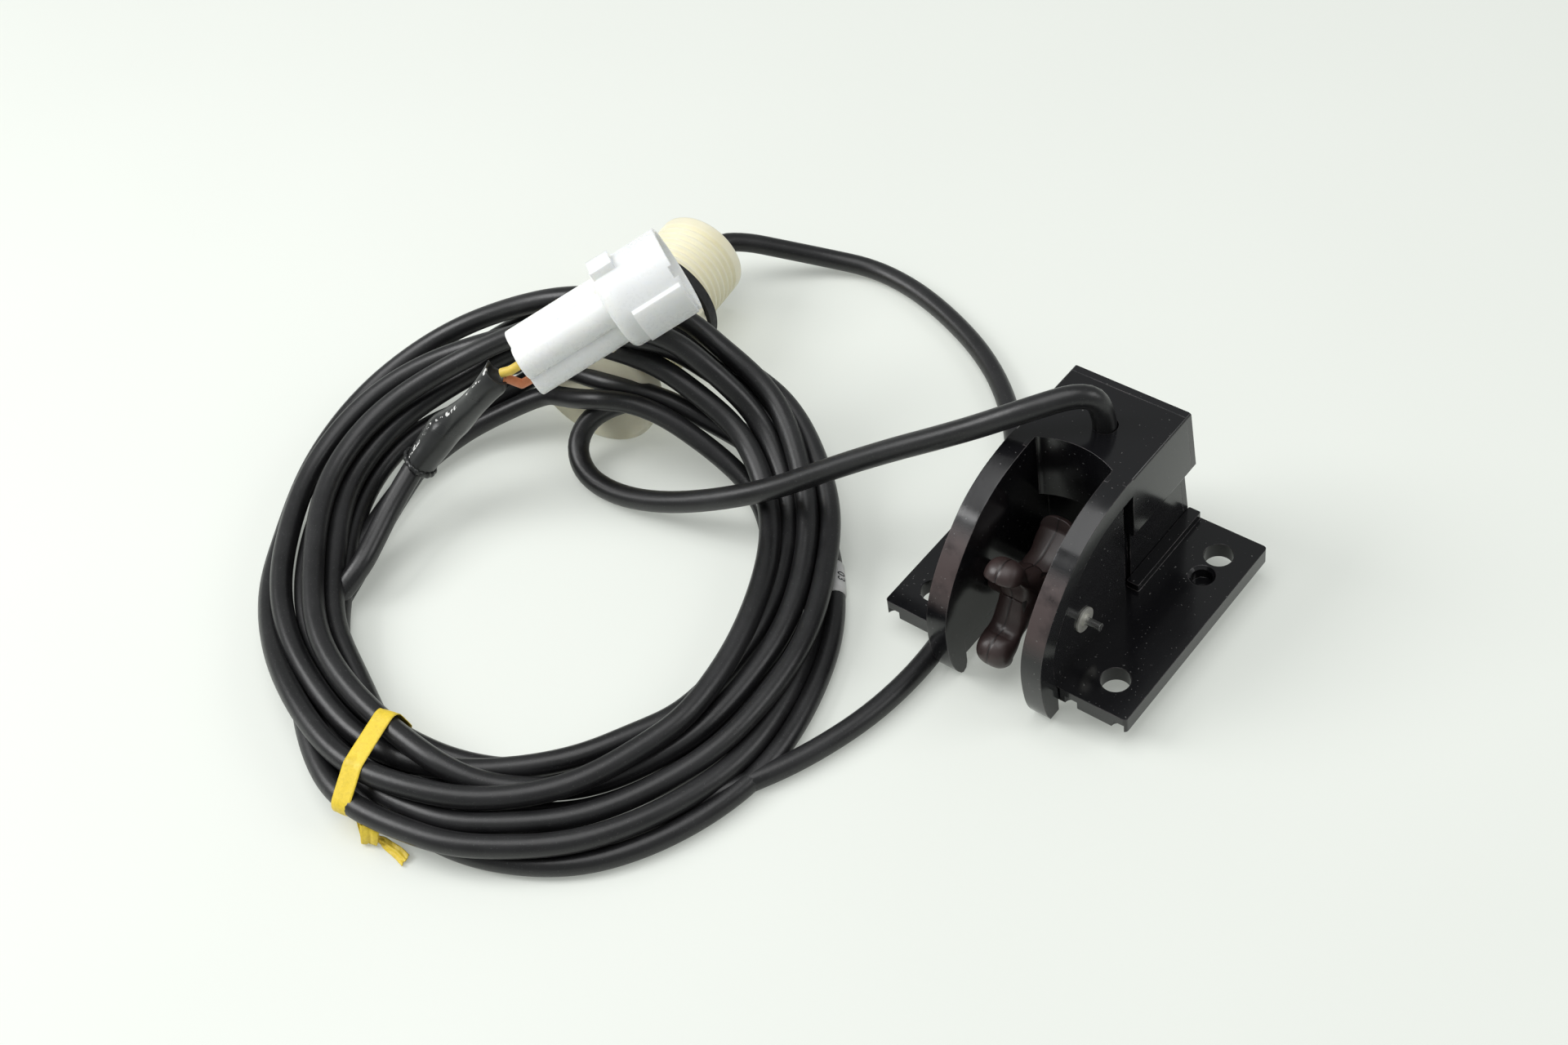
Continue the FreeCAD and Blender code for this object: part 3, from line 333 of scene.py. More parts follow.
class Nodes:
    """A node tree and the ways of adding to it."""

    def __init__(self, tree):
        self.tree = tree

    def node(self, kind, settings=None, inputs=None, output=0):
        """Adds a node of this type with its settings, then the values or links of its sockets."""
        made = self.tree.nodes.new(kind)
        for key, value in (settings or {}).items():
            setattr(made, key, value)
        for key, value in (inputs or {}).items():
            self.feed(made.inputs[key], value)
        return Signal(self, made.outputs[output])

    def feed(self, socket, value):
        """Links a signal to the socket, or sets a plain value on it."""
        if isinstance(value, Signal):
            self.tree.links.new(value.socket, socket)
        else:
            socket.default_value = value

    def seen(self, glossy):
        """1 for rays from the camera or through glass, and the given share for rays off gloss."""
        rays = self.tree.nodes.new("ShaderNodeLightPath")
        kinds = ("Is Camera Ray", "Is Transmission Ray", "Is Glossy Ray")
        camera, glass, mirror = (Signal(self, rays.outputs[kind]) for kind in kinds)
        return camera + glass + mirror * glossy


class Finish(Nodes):
    """A material and the nodes that give its surface."""

    def __init__(self, name, **constants):
        self.material = bpy.data.materials.new(name)
        self.material.use_nodes = True
        super().__init__(self.material.node_tree)
        self.shader = self.tree.nodes["Principled BSDF"]
        for key, value in constants.items():
            self.shader.inputs[key.replace("_", " ")].default_value = value

    def place(self, scale=(1, 1, 1), turn=(0, 0, 0)):
        """The piece's own coordinates, stretched and turned."""
        here = self.node("ShaderNodeTexCoord", output="Object")
        return self.node("ShaderNodeMapping", {"vector_type": "POINT"},
                         {"Vector": here, "Scale": scale, "Rotation": turn})

    def noise(self, scale, detail=3.0, roughness=0.5, where=None):
        """Cloudy noise over the piece's own coordinates, or over the given ones."""
        inputs = {"Scale": scale, "Detail": detail, "Roughness": roughness,
                  "Vector": where or self.place()}
        return self.node("ShaderNodeTexNoise", {}, inputs)

    def range(self, value, low, high, new_low=0.0, new_high=1.0):
        """The value's stretch from low to high, moved to the new ends and held there."""
        return self.node("ShaderNodeMapRange", {"clamp": True},
                         {0: value, 1: low, 2: high, 3: new_low, 4: new_high})

    def mix(self, share, first, second):
        """The first colour going over to the second as the share rises."""
        def colour(value):
            return value if isinstance(value, Signal) else (*value, 1)
        return self.node("ShaderNodeMix", {"data_type": "RGBA"},
                         {0: share, 6: colour(first), 7: colour(second)}, 2)

    def edges(self, radius):
        """About 1 on edges that a rounding of this radius would touch, 0 on flat faces."""
        soft = self.node("ShaderNodeBevel", {"samples": 6}, {"Radius": radius})
        true = self.node("ShaderNodeNewGeometry", output="Normal")
        match = self.node("ShaderNodeVectorMath", {"operation": "DOT_PRODUCT"}, {0: soft, 1: true}, 1)
        return self.range(1 - match, 0.0, 0.12)

    def rim_band(self):
        """1 on faces that look away from the X axis at the height of the cheeks' brownish band of rubbing and
        painted reflection, else 0:
        a rise from 18 to 23 mm, and a fall from 33 to 36 mm, times the face's tilt."""
        where = self.node("ShaderNodeTexCoord", output=3)
        height = self.node("ShaderNodeSeparateXYZ", {}, {0: where}, 2)
        forward = self.node("ShaderNodeSeparateXYZ", {}, {0: where}, 1)
        turned = self.node("ShaderNodeNewGeometry", output="Normal")
        sideways = self.node("ShaderNodeSeparateXYZ", {}, {0: turned}, 0)
        band = self.range(height, 0.018, 0.023) * self.range(height, 0.036, 0.033)
        return band * self.range(forward, -0.010, -0.016) * (sideways.maths("ABSOLUTE", sideways) < 0.4)

    def surface(self, **feeds):
        """Feeds the shader's sockets, named with underscores for spaces."""
        for key, value in feeds.items():
            self.feed(self.shader.inputs[key.replace("_", " ")], value)
        return self

    def bump(self, height, distance, strength=1.0, rounding=0.0):
        """Unevenness from a height, over edges that look rounded by the given radius."""
        inputs = {"Height": height, "Distance": distance, "Strength": strength}
        if rounding:
            inputs["Normal"] = self.node("ShaderNodeBevel", {"samples": 6}, {"Radius": rounding})
        self.feed(self.shader.inputs["Normal"], self.node("ShaderNodeBump", {}, inputs))
        return self


def rounded_shading(piece):
    """Joins the piece's loose faces when drawn and shades its curved faces as round, with every
    turn sharper than SHARP_TURN left as an edge."""
    join = piece.modifiers.new("join", "WELD")
    join.merge_threshold = 0.000002
    split = piece.modifiers.new("edges", "EDGE_SPLIT")
    split.split_angle = SHARP_TURN
    split.use_edge_sharp = False
    piece.data.shade_smooth()


def wear(finish, *pieces):
    """Gives the finish to the pieces as their only material."""
    for piece in pieces:
        piece.data.materials.clear()
        piece.data.materials.append(finish.material)


def coil_place(stations, share, lift):
    """Points of the coil: the rim's point, plus a share of the way to the eye's, plus the lift
    along the leaning direction."""
    rim = through(COIL_RIM, stations, closed=True)
    eye = through(COIL_EYE, stations, closed=True)
    return rim + share[:, None] * (eye - rim) + lift[:, None] * np.asarray(LEAN)


def lane_points(lane):
    """The lane's listed shares and lifts at every third of a station, rounded off along it."""
    lane = np.asarray(lane, float)
    first = math.ceil(lane[0, 0] * STATION_PARTS)
    last = math.floor(lane[-1, 0] * STATION_PARTS)
    step = np.arange(first, last + 1)
    stations = step / STATION_PARTS
    values = np.stack([np.interp(stations, lane[:, 0], lane[:, k]) for k in (1, 2)], 1)
    values = smoothed(values, LANE_ROUNDING * STATION_PARTS)
    return step, coil_place(stations, values[:, 0], values[:, 1])


def kept_off_transducer(points, radius):
    """Points pushed out of the stem, the flange and the nut by the shorter way."""
    foot, axis = np.asarray(STEM_FOOT), unit(STEM_AXIS)
    along = (points - foot) @ axis
    out = points - foot - along[:, None] * axis
    far = np.linalg.norm(out, axis=1)
    out = out / far[:, None]
    push = np.zeros_like(points)
    stem = (along > 0) & (far < STEM_R + radius)
    push += np.where(stem, STEM_R + radius - far, 0)[:, None] * out
    sunk = FLANGE_R + radius - far
    before, behind = along + radius, FLANGE_T + radius - along
    flange = (sunk > 0) & (before > 0) & (behind > 0)
    front = flange & (before < behind) & (before < sunk)
    back = flange & (before >= behind) & (behind < sunk)
    push += np.where(front, -before, 0)[:, None] * axis + np.where(back, behind, 0)[:, None] * axis
    push += np.where(flange & ~front & ~back, sunk, 0)[:, None] * out
    nut = (along > NUT_NEAR - radius) & (far < FLANGE_R) & (along < NUT_NEAR + NUT_T)
    push += np.where(nut, NUT_NEAR - radius - along, 0)[:, None] * axis
    return points + push


def settled_coil(radii):
    """Both cables' turns, laid in their lanes and then settled: where two strands pass the same
    station closer than their width they are pushed apart, every strand is kept above the table
    and outside the transducer, and each is drawn back to its own lane from the side only, so
    that crossings are made by height."""
    lanes = [lane_points(SPEED_LANE), lane_points(DEPTH_LANE)]
    counts = [len(step) for step, _ in lanes]
    step = np.concatenate([lanes[0][0], lanes[1][0]])
    home = np.concatenate([lanes[0][1], lanes[1][1]])
    radius = np.repeat(radii, counts)
    turn = len(COIL_RIM) * STATION_PARTS
    station = (step % turn) / STATION_PARTS
    first, second = np.triu_indices(len(step), 1)
    same = (step[first] - step[second]) % turn == 0
    first, second = first[same], second[same]
    width = (radius[first] + radius[second]) * CORD_ROOM
    tied = (station > TIE_STATIONS[0]) & (station < TIE_STATIONS[1])
    floor = TABLE_TOP + radius + np.where(tied, TIE_FLOOR_RISE, CORD_FLOOR_RISE)
    lean = unit(LEAN)
    resting = (station < PROPPED_STATIONS[0]) | (station > PROPPED_STATIONS[1])
    points = home.copy()
    for round_number in range(SETTLE_ROUNDS):
        gap = points[second] - points[first]
        apart = np.linalg.norm(gap, axis=1) + 1e-6
        push = np.clip(width - apart, 0, None)[:, None] * gap / apart[:, None] * 0.5
        np.add.at(points, second, push)
        np.add.at(points, first, -push)
        points = np.concatenate([kept_off_transducer(part, r + TRANSDUCER_GAP) for part, r in
                                 zip(np.split(points, [counts[0]]), radii)])
        points[:, 2] = np.maximum(points[:, 2], floor)
        shift = points - home
        if round_number < SETTLE_ROUNDS - LAST_FREE_ROUNDS:
            sideways = shift - (shift @ lean)[:, None] * lean
            points -= SIDE_PULL * sideways
            points -= np.where(resting, SAG, 0)[:, None] * lean
        shift = points - home
        parts = [part + STIFFNESS * (np.roll(part, 1, 0) + np.roll(part, -1, 0) - 2 * part)
                 for part in np.split(shift, [counts[0]])]
        for part, kept in zip(parts, np.split(shift, [counts[0]])):
            part[[0, -1]] = kept[[0, -1]]
        points = home + np.concatenate(parts)
    return np.split(points, [counts[0]])


def cord_curve(name, points, diameter):
    """A cable as one open smooth spline with the given control points; the points' radius is
    the cable's own, in metres."""
    curve = bpy.data.curves.new(name, "CURVE")
    curve.dimensions = "3D"
    spline = curve.splines.new("NURBS")
    spline.points.add(len(points) - 1)
    spline.points.foreach_set("co", np.column_stack([np.asarray(points) * MM, np.ones(len(points))]).ravel())
    spline.points.foreach_set("radius", np.full(len(points), diameter / 2))
    spline.order_u = 3
    spline.use_endpoint_u = True
    curve.resolution_u = 5
    curve.bevel_depth = 1.0
    curve.bevel_resolution = 6
    curve.use_fill_caps = True
    piece = bpy.data.objects.new(name, curve)
    bpy.context.scene.collection.objects.link(piece)
    return piece


def centreline(cord):
    """The points, in millimetres, of the cord's own spline."""
    cord.data.bevel_depth = 0
    line = bpy.data.meshes.new_from_object(cord.evaluated_get(bpy.context.evaluated_depsgraph_get()))
    cord.data.bevel_depth = 1.0
    points = np.zeros(len(line.vertices) * 3, np.float32)
    line.vertices.foreach_get("co", points)
    bpy.data.meshes.remove(line)
    return points.reshape(-1, 3).astype(float) / MM


def cord_radius(cord):
    """The cord's own radius in millimetres."""
    return cord.data.splines[0].points[0].radius / MM


def jacket_finish(name, colour):
    """Soft black vinyl: satin, with a slight greyish bloom, faint rubbed streaks and dust."""
    finish = Finish(name, Specular_IOR_Level=0.5)
    bloom = finish.noise(45.0, 4.0, 0.6)
    fine = finish.noise(900.0, 2.0, 0.6)
    dust = finish.range(finish.noise(2600.0, 1.0, 0.4), 0.68, 0.74)
    body = finish.mix(finish.range(bloom, 0.35, 0.7), colour, [c * 1.9 + 0.004 for c in colour])
    finish.surface(Base_Color=finish.mix(dust * 0.25, body, (0.12, 0.12, 0.12)),
                   Roughness=finish.range(bloom * 0.7 + fine * 0.3, 0.3, 0.7, 0.30, 0.44))
    return finish.bump(fine, 0.00006, 0.35)


class OBJECT_OT_transducer_cables(bpy.types.Operator):
    """Lay both cables: leads, coil turns and tails"""

    bl_idname = "object.transducer_cables"
    bl_label = "Cables"

    def execute(self, context):
        sizes = context.scene.transducer_cables
        diameters = (sizes.speed_diameter, sizes.depth_diameter)
        turns = settled_coil([d / 2 / MM for d in diameters])
        finish = jacket_finish("cable_jacket", list(sizes.jacket))
        runs = (
            ("speed_cord", SPEED_LEAD, SPEED_TAIL, SPEED_LENGTH,
             ("speed_cable", "speed_cable_tail", "cable_coil_outer")),
            ("depth_cord", DEPTH_LEAD, DEPTH_TAIL, DEPTH_LENGTH,
             ("depth_cable", "depth_cable_tail", "cable_coil_inner")),
        )
        for (name, lead, tail, length, nodes), turn, diameter in zip(runs, turns, diameters):
            cord = cord_curve(name, np.concatenate([lead, turn, tail]), diameter)
            wear(finish, cord)
            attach(cord, "base")
            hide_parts(*nodes)
            [v * MM for v in lead[0]]
        return {"FINISHED"}


# ---- twist tie ----------------------------------------------------------------
TIE_AT = (-105.2, -131.3)
TIE_TURN = 11.5
TIE_REACH = 24.0
TIE_THICK = 0.22
TIE_CLEARANCE = 0.2
TIE_ROWS = 120
TIE_COLUMNS = 9
TIE_END_ROWS = 44
TIE_END_COLUMNS = 13
# Each end of the tie as pairs of points on its two long edges, from the band outwards.
TIE_ENDS = (
    (((-99.2, -144.9, -1.0), (-99.5, -143.3, 0.0)), ((-97.7, -146.1, -3.0), (-97.7, -144.3, -2.5)),
     ((-96.6, -147.2, -4.6), (-93.4, -145.6, -4.6)), ((-96.1, -146.8, -1.5), (-92.2, -144.7, -1.0)),
     ((-96.4, -145.9, 1.0), (-93.1, -141.9, 2.0))),
    (((-95.0, -144.9, -4.8), (-94.0, -143.8, -3.5)), ((-92.7, -145.0, -4.5), (-91.9, -143.4, -3.2)),
     ((-90.8, -145.4, -4.8), (-90.3, -143.1, -3.9)), ((-87.8, -145.7, -4.9), (-87.3, -143.1, -3.8)),
     ((-84.4, -146.3, -5.0), (-84.6, -143.4, -4.2))),
)


def crossings(line, foot, ahead, reach):
    """Where the line passes the upright plane at foot, square to ahead and within reach of it."""
    away = (line[:, :2] - foot) @ ahead
    cut = np.nonzero((away[:-1] * away[1:] <= 0) & (away[:-1] != away[1:]))[0]
    share = (away[cut] / (away[cut] - away[cut + 1]))[:, None]
    found = line[cut] + share * (line[cut + 1] - line[cut])
    return found[np.linalg.norm(found[:, :2] - foot, axis=1) < reach]


def wrapped_outline(centres, radii, steps, count):
    """A tight band round circles: in each direction the furthest circle gives the point, and
    straight stretches join the circles. The outline is then cut into equal steps."""
    angle = np.linspace(0, 2 * math.pi, steps, endpoint=False)
    ways = np.stack([np.cos(angle), np.sin(angle)], 1)
    best = np.argmax(ways @ centres.T + radii, axis=1)
    outline = centres[best] + radii[best, None] * ways
    return evenly(np.vstack([outline, outline[:1]]), count + 1)[:-1]


def paper_finish(name, colour):
    """Yellow coated paper: fine fibre, faint creases and slightly browned rubbed places."""
    finish = Finish(name, Specular_IOR_Level=0.45)
    fibre = finish.noise(1400.0, 4.0, 0.7)
    crease = finish.range(finish.noise(260.0, 2.0, 0.5), 0.56, 0.72)
    tint = finish.mix(finish.range(fibre, 0.3, 0.75), colour, [c * 0.80 for c in colour])
    finish.surface(Base_Color=finish.mix(crease * 0.30, tint, [c * 0.62 for c in colour]),
                   Roughness=finish.range(fibre, 0.3, 0.7, 0.36, 0.55))
    return finish.bump(fibre * 0.4 + crease * 0.6, 0.00022, 0.7)


class OBJECT_OT_transducer_tie(bpy.types.Operator):
    """Wrap the paper tie round the bundle and twist its ends"""

    bl_idname = "object.transducer_tie"
    bl_label = "Twist tie"

    def execute(self, context):
        sizes = context.scene.transducer_cables
        turn = math.radians(TIE_TURN)
        ahead = np.array([math.cos(turn), math.sin(turn)])
        across = np.array([-math.sin(turn), math.cos(turn)])
        centres, radii = [], []
        for name in ("speed_cord", "depth_cord"):
            cord = bpy.data.objects[name]
            found = crossings(centreline(cord), np.asarray(TIE_AT), ahead, TIE_REACH)
            centres.append(np.column_stack([(found[:, :2] - TIE_AT) @ across, found[:, 2]]))
            radii.append(np.full(len(found), cord_radius(cord) + TIE_CLEARANCE))
        outline = wrapped_outline(np.concatenate(centres), np.concatenate(radii), 2 * TIE_ROWS, TIE_ROWS)
        width = sizes.tie_width / MM
        place = np.linspace(-0.5, 0.5, TIE_COLUMNS)
        round_band = np.linspace(0, 2 * math.pi, TIE_ROWS, endpoint=False)
        row, column = np.meshgrid(round_band, place, indexing="ij")
        outward = unit(outline - outline.mean(0))
        crumple = 0.12 + 0.16 * ripple(row * 3, column * 4, 5)
        section = outline[:, None] + outward[:, None] * crumple[..., None]
        drift = width * column + 0.35 * ripple(row, column * 0.5, 8)
        grid = np.empty((*row.shape, 3))
        grid[..., :2] = TIE_AT + drift[..., None] * ahead + section[..., :1] * across
        grid[..., 2] = np.maximum(section[..., 1], TABLE_TOP + 0.05)
        band = surface("twist_tie_band", np.concatenate([grid, grid[:1]]), closed_across=False)
        finish = paper_finish("tie_paper", list(sizes.tie_colour))
        pieces = [band]
        for number, pairs in enumerate(np.asarray(TIE_ENDS)):
            at = np.linspace(0, len(pairs) - 1.001, TIE_END_ROWS)
            low, high = through(pairs[:, 0], at), through(pairs[:, 1], at)
            share = np.linspace(0, 1, TIE_END_COLUMNS)[None, :, None]
            strip = low[:, None] * (1 - share) + high[:, None] * share
            travel = unit(np.gradient((low + high) / 2, axis=0))
            face = unit(np.cross(travel, high - low))
            dent = 0.32 * ripple(at[:, None] * 2.6, share[..., 0] * 5, 21 + number, 2)
            wire = 0.35 * np.exp(-((share[..., 0] - 0.5) / 0.09) ** 2)
            strip += (dent + wire)[..., None] * face[:, None]
            jag = 0.5 * ripple(share[..., 0] * 9, number + share[..., 0], 31 + number, 2)
            strip[-3:] += (jag * np.array([[0.3], [0.6], [1.0]]))[..., None] * travel[-1]
            strip[..., 2] = np.maximum(strip[..., 2], TABLE_TOP + 0.2)
            pieces.append(surface(f"twist_tie_end_{number + 1}", strip, closed_across=False))
        for piece in pieces:
            solid = piece.modifiers.new("thickness", "SOLIDIFY")
            solid.thickness = TIE_THICK * MM
            solid.offset = 0
            wear(finish, piece)
            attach(piece, "base")
        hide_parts("twist_tie")
        return {"FINISHED"}


# ---- printed marker sleeve -----------------------------------------------------
MARKER_ENDS = ((-55.4, -26.0), (-49.7, -33.7))
MARKER_WALL = 0.3
MARKER_ROWS = 24
MARKER_LOW = 3.0
MARKER_STRAY = 50.0
NUMBER_HEIGHT = 2.0
NUMBER_WIDTH = 0.9
NUMBER_STEP = 0.75
NUMBER_STROKE = 0.34
NUMBER_TURN = 0.75


def sleeve_film_finish(name):
    """White shrink film: smooth, faintly yellowed and scuffed."""
    finish = Finish(name, Specular_IOR_Level=0.5)
    cloud = finish.noise(300.0, 3.0, 0.6)
    white, yellowed = (0.80, 0.80, 0.79), (0.66, 0.66, 0.63)
    finish.surface(Base_Color=finish.mix(finish.range(cloud, 0.3, 0.8), white, yellowed),
                   Roughness=finish.range(cloud, 0.3, 0.7, 0.30, 0.45))
    return finish.bump(cloud, 0.00008, 0.4)


def number_strokes(path, radius):
    """The plain number 03 as inked ribbons on the sleeve. Each stroke is an arc of an ellipse in
    flat letter space, given width square to its travel; the flat length then runs along the cord
    and the flat height bends round it, centred on the side the number faces."""
    middle = path[len(path) // 2]
    ahead = unit(path[-1] - path[0])
    facing = unit(np.asarray(CAMERA_AT) - middle)
    facing = unit(facing - np.dot(facing, ahead) * ahead)
    tops = np.cross(facing, ahead)
    quarter = NUMBER_HEIGHT / 4
    hook = math.radians(160)
    arcs = ((-NUMBER_STEP, 0.0, 2 * quarter, 0.0, 2 * math.pi),
            (NUMBER_STEP, quarter, quarter, hook, -math.pi / 2),
            (NUMBER_STEP, -quarter, quarter, math.pi / 2, -hook))
    for along, up, tall, first, last in arcs:
        turn = np.linspace(first, last, 41)
        line = np.stack([along + NUMBER_WIDTH / 2 * np.cos(turn), up + tall * np.sin(turn)], 1)
        travel = np.stack([-NUMBER_WIDTH / 2 * np.sin(turn), tall * np.cos(turn)], 1)
        square = unit(np.stack([-travel[:, 1], travel[:, 0]], 1))
        flat = line[:, None] + np.linspace(-0.5, 0.5, 4)[:, None] * NUMBER_STROKE * square[:, None]
        bend = flat[..., 1:] / radius + NUMBER_TURN
        yield middle + flat[..., :1] * ahead + radius * (np.cos(bend) * facing + np.sin(bend) * tops)


def marker_path(line):
    """The marker's stretch of the cord in equal steps. It starts where the cord lies lowest by
    the first end, and stops by the second without running on into another turn."""
    near = [np.linalg.norm(line[:, :2] - end, axis=1) for end in MARKER_ENDS]
    first = np.argmin(near[0] + (line[:, 2] > MARKER_LOW) * MARKER_STRAY)
    travel = np.append(0, np.cumsum(np.linalg.norm(np.diff(line, axis=0), axis=1)))
    strayed = np.abs(travel - travel[first]) > MARKER_STRAY
    second = np.argmin(near[1] + strayed * MARKER_STRAY)
    return evenly(line[min(first, second):max(first, second) + 1], MARKER_ROWS)


class OBJECT_OT_transducer_marker(bpy.types.Operator):
    """Shrink the white marker sleeve on the outermost turn, with its plain number"""

    bl_idname = "object.transducer_marker"
    bl_label = "Marker sleeve"

    def execute(self, context):
        cord = bpy.data.objects["depth_cord"]
        path = marker_path(centreline(cord))
        radius = cord_radius(cord) + MARKER_WALL
        angle = np.linspace(0, 2 * math.pi, 40, endpoint=False)
        row = np.arange(MARKER_ROWS)
        end_round = radius - 0.25 * np.exp(-np.minimum(row, row[::-1]) / 0.7)
        section = end_round[:, None, None] * np.stack([np.cos(angle), np.sin(angle)], 1)
        sleeve = surface("cable_marker_sleeve", carried(path, section, (0, 0, 1)), capped=True)
        wear(sleeve_film_finish("marker_film"), sleeve)
        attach(sleeve, "base")
        ink = plain_finish("marker_ink", (0.03, 0.03, 0.035), 0.5, 900.0)
        for number, grid in enumerate(number_strokes(path[9:16], radius + 0.04)):
            stroke = surface(f"marker_number_{number + 1}", grid, closed_across=False)
            wear(ink, stroke)
            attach(stroke, "base")
        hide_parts("cable_marker")
        return {"FINISHED"}


# ---- shrink sleeve behind the plug ---------------------------------------------
SLEEVE_LINE = (
    (-156.8, -62.1, 11.0), (-154.5, -58.0, 15.5), (-151.7, -54.5, 20.0), (-148.4, -52.3, 23.3),
    (-144.3, -50.3, 28.0), (-140.0, -48.2, 33.4), (-137.5, -46.3, 37.0), (-136.6, -45.2, 39.0),
)
SLEEVE_HALVES = (
    (3.9, 5.7), (4.3, 5.7), (4.5, 5.4), (4.0, 4.6), (3.4, 3.8), (3.3, 3.5), (3.7, 3.4), (3.3, 3.1),
)
SLEEVE_ROWS = 90
SLEEVE_COLUMNS = 64
MOUTH_ROWS = 4
RING_ROW = 3
RING_BEADS = 8
# Where round the sleeve, and how wide, the glints painted into its base colour run: pale colour standing in
# for highlights.
PAINTED_GLINT_SIDE = 0.61
PAINTED_GLINT_WIDTH = 0.024


def shrink_finish(name, colour):
    """Satin shrunk tube: soft folds, and glints painted as pale base colour, broken along one crumpled line.
    """
    finish = Finish(name, Specular_IOR_Level=0.5)
    folds = finish.noise(110.0, 2.0, 0.5)
    glint = finish.range(finish.noise(520.0, 2.0, 0.7), 0.54, 0.58)
    around = finish.node("ShaderNodeSeparateXYZ", {}, {0: finish.node("ShaderNodeTexCoord", output="UV")}, 1)
    offset = around - PAINTED_GLINT_SIDE
    on_line = offset.maths("ABSOLUTE", offset) < PAINTED_GLINT_WIDTH
    painted_glint = on_line * glint
    # The painted glints: pale base colour standing in for highlights off the crumpled line.
    finish.surface(Base_Color=finish.mix(painted_glint, colour, (0.75, 0.75, 0.73)),
                   Roughness=finish.range(folds, 0.35, 0.65, 0.26, 0.38))
    return finish.bump(folds, 0.0007, 0.5)


def unit_across(path, side):
    """Directions square to both the path's travel and the given side; the rows that turn back
    into the mouth take the direction from just before it."""
    ahead = np.gradient(path, axis=0)
    ahead[-MOUTH_ROWS:] = ahead[-MOUTH_ROWS - 2]
    return unit(np.cross(ahead, side))


class OBJECT_OT_transducer_sleeve(bpy.types.Operator):
    """Form the lumpy shrink sleeve and the ring at its lower end"""

    bl_idname = "object.transducer_sleeve"
    bl_label = "Shrink sleeve"

    def execute(self, context):
        mouth = len(SLEEVE_LINE) - 1.001
        turned_in = mouth - np.array([0.0, 0.05, 0.35, 0.7])
        at = np.append(np.linspace(0, mouth, SLEEVE_ROWS - MOUTH_ROWS), turned_in)
        path = through(SLEEVE_LINE, at)
        halves = through(SLEEVE_HALVES, at)
        angle = np.linspace(0, 2 * math.pi, SLEEVE_COLUMNS, endpoint=False)
        lumps = 1 + 0.06 * ripple(at[:, None] * 1.8, np.stack([angle] * SLEEVE_ROWS), 3, 2)
        closing = np.clip(np.arange(SLEEVE_ROWS) / 3, 0.12, 1) ** 0.5
        closing[-MOUTH_ROWS:] *= (0.97, 0.84, 0.78, 0.4)
        section = (halves * closing[:, None])[:, None] * np.stack([np.cos(angle), np.sin(angle)], 1)
        middle = path[SLEEVE_ROWS // 2]
        view = unit(middle - CAMERA_AT)
        side = unit(np.cross(view, path[-5] - path[0]))
        ahead = unit(path[-5] - path[-9])
        lip = 1.6 * np.exp(-((angle - math.pi) / 0.5) ** 2)
        nick = 0.6 * np.exp(-((angle - 2.0) / 0.4) ** 2)
        torn = np.clip((at - mouth + 0.9) / 0.9, 0, 1)[:, None] ** 2 * (lip - nick)
        grid = path[:, None] + section[..., :1] * lumps[..., None] * side \
            + section[..., 1:] * lumps[..., None] * unit_across(path, side)[:, None] \
            + torn[..., None] * ahead
        sleeve = surface("shrink_sleeve", grid, capped=True)
        bead_turn = np.linspace(0, 2 * math.pi, 96, endpoint=False)
        around = np.linspace(0, 2 * math.pi, 16, endpoint=False)
        grip = 0.48 + 0.20 * np.abs(np.sin(bead_turn * RING_BEADS))
        wide, deep = halves[6] * 0.98 + 0.25
        rise = np.cross(unit(path[8] - path[4]), side)
        outward = np.cos(bead_turn)[:, None] * side * wide + np.sin(bead_turn)[:, None] * rise * deep
        ring_grid = (path[RING_ROW] + outward)[:, None] \
            + (grip[:, None] * np.cos(around))[..., None] * unit(outward)[:, None] \
            + (grip[:, None] * np.sin(around) * 1.2)[..., None] * unit(path[8] - path[4])
        ring = surface("sleeve_ring", np.concatenate([ring_grid, ring_grid[:1]]))
        finish = shrink_finish("shrink_tube", list(context.scene.transducer_cables.sleeve_colour))
        for piece, node in ((sleeve, "heat_shrink_sleeve"), (ring, "sleeve_tie")):
            wear(finish, piece)
            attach(piece, "base")
            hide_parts(node)
        return {"FINISHED"}


# ---- paddlewheel ------------------------------------------------------------------
WHEEL_AT = (-1.0, -18.2, 14.9)
WHEEL_HALF = 4.5
WHEEL_SQUARENESS = 2.6
PADDLES = 4
PADDLE_FIRST = math.radians(31)
HEAD_AT = 14.6
HEAD_R = 4.2
HEAD_FROM = math.radians(225)
HEAD_TO = math.radians(397)
PADDLE_ROOT = ((3.0, -6.0), (5.6, -4.6), (8.4, -2.8), (10.2, -2.4))
PADDLE_FOOT = ((15.4, 0.7), (12.0, 1.0), (8.0, 1.8), (4.5, 4.0))
HUB_R = 6.2
BOSS_R = 3.0
BOSS_HALF = 9.9
WHEEL_BORE = 1.05
PARTING_DEPTH = 0.05
PARTING_WIDTH = 0.012
NECK_AT = 9.3
NECK_PINCH = 0.09
WHEEL_ROWS = 41


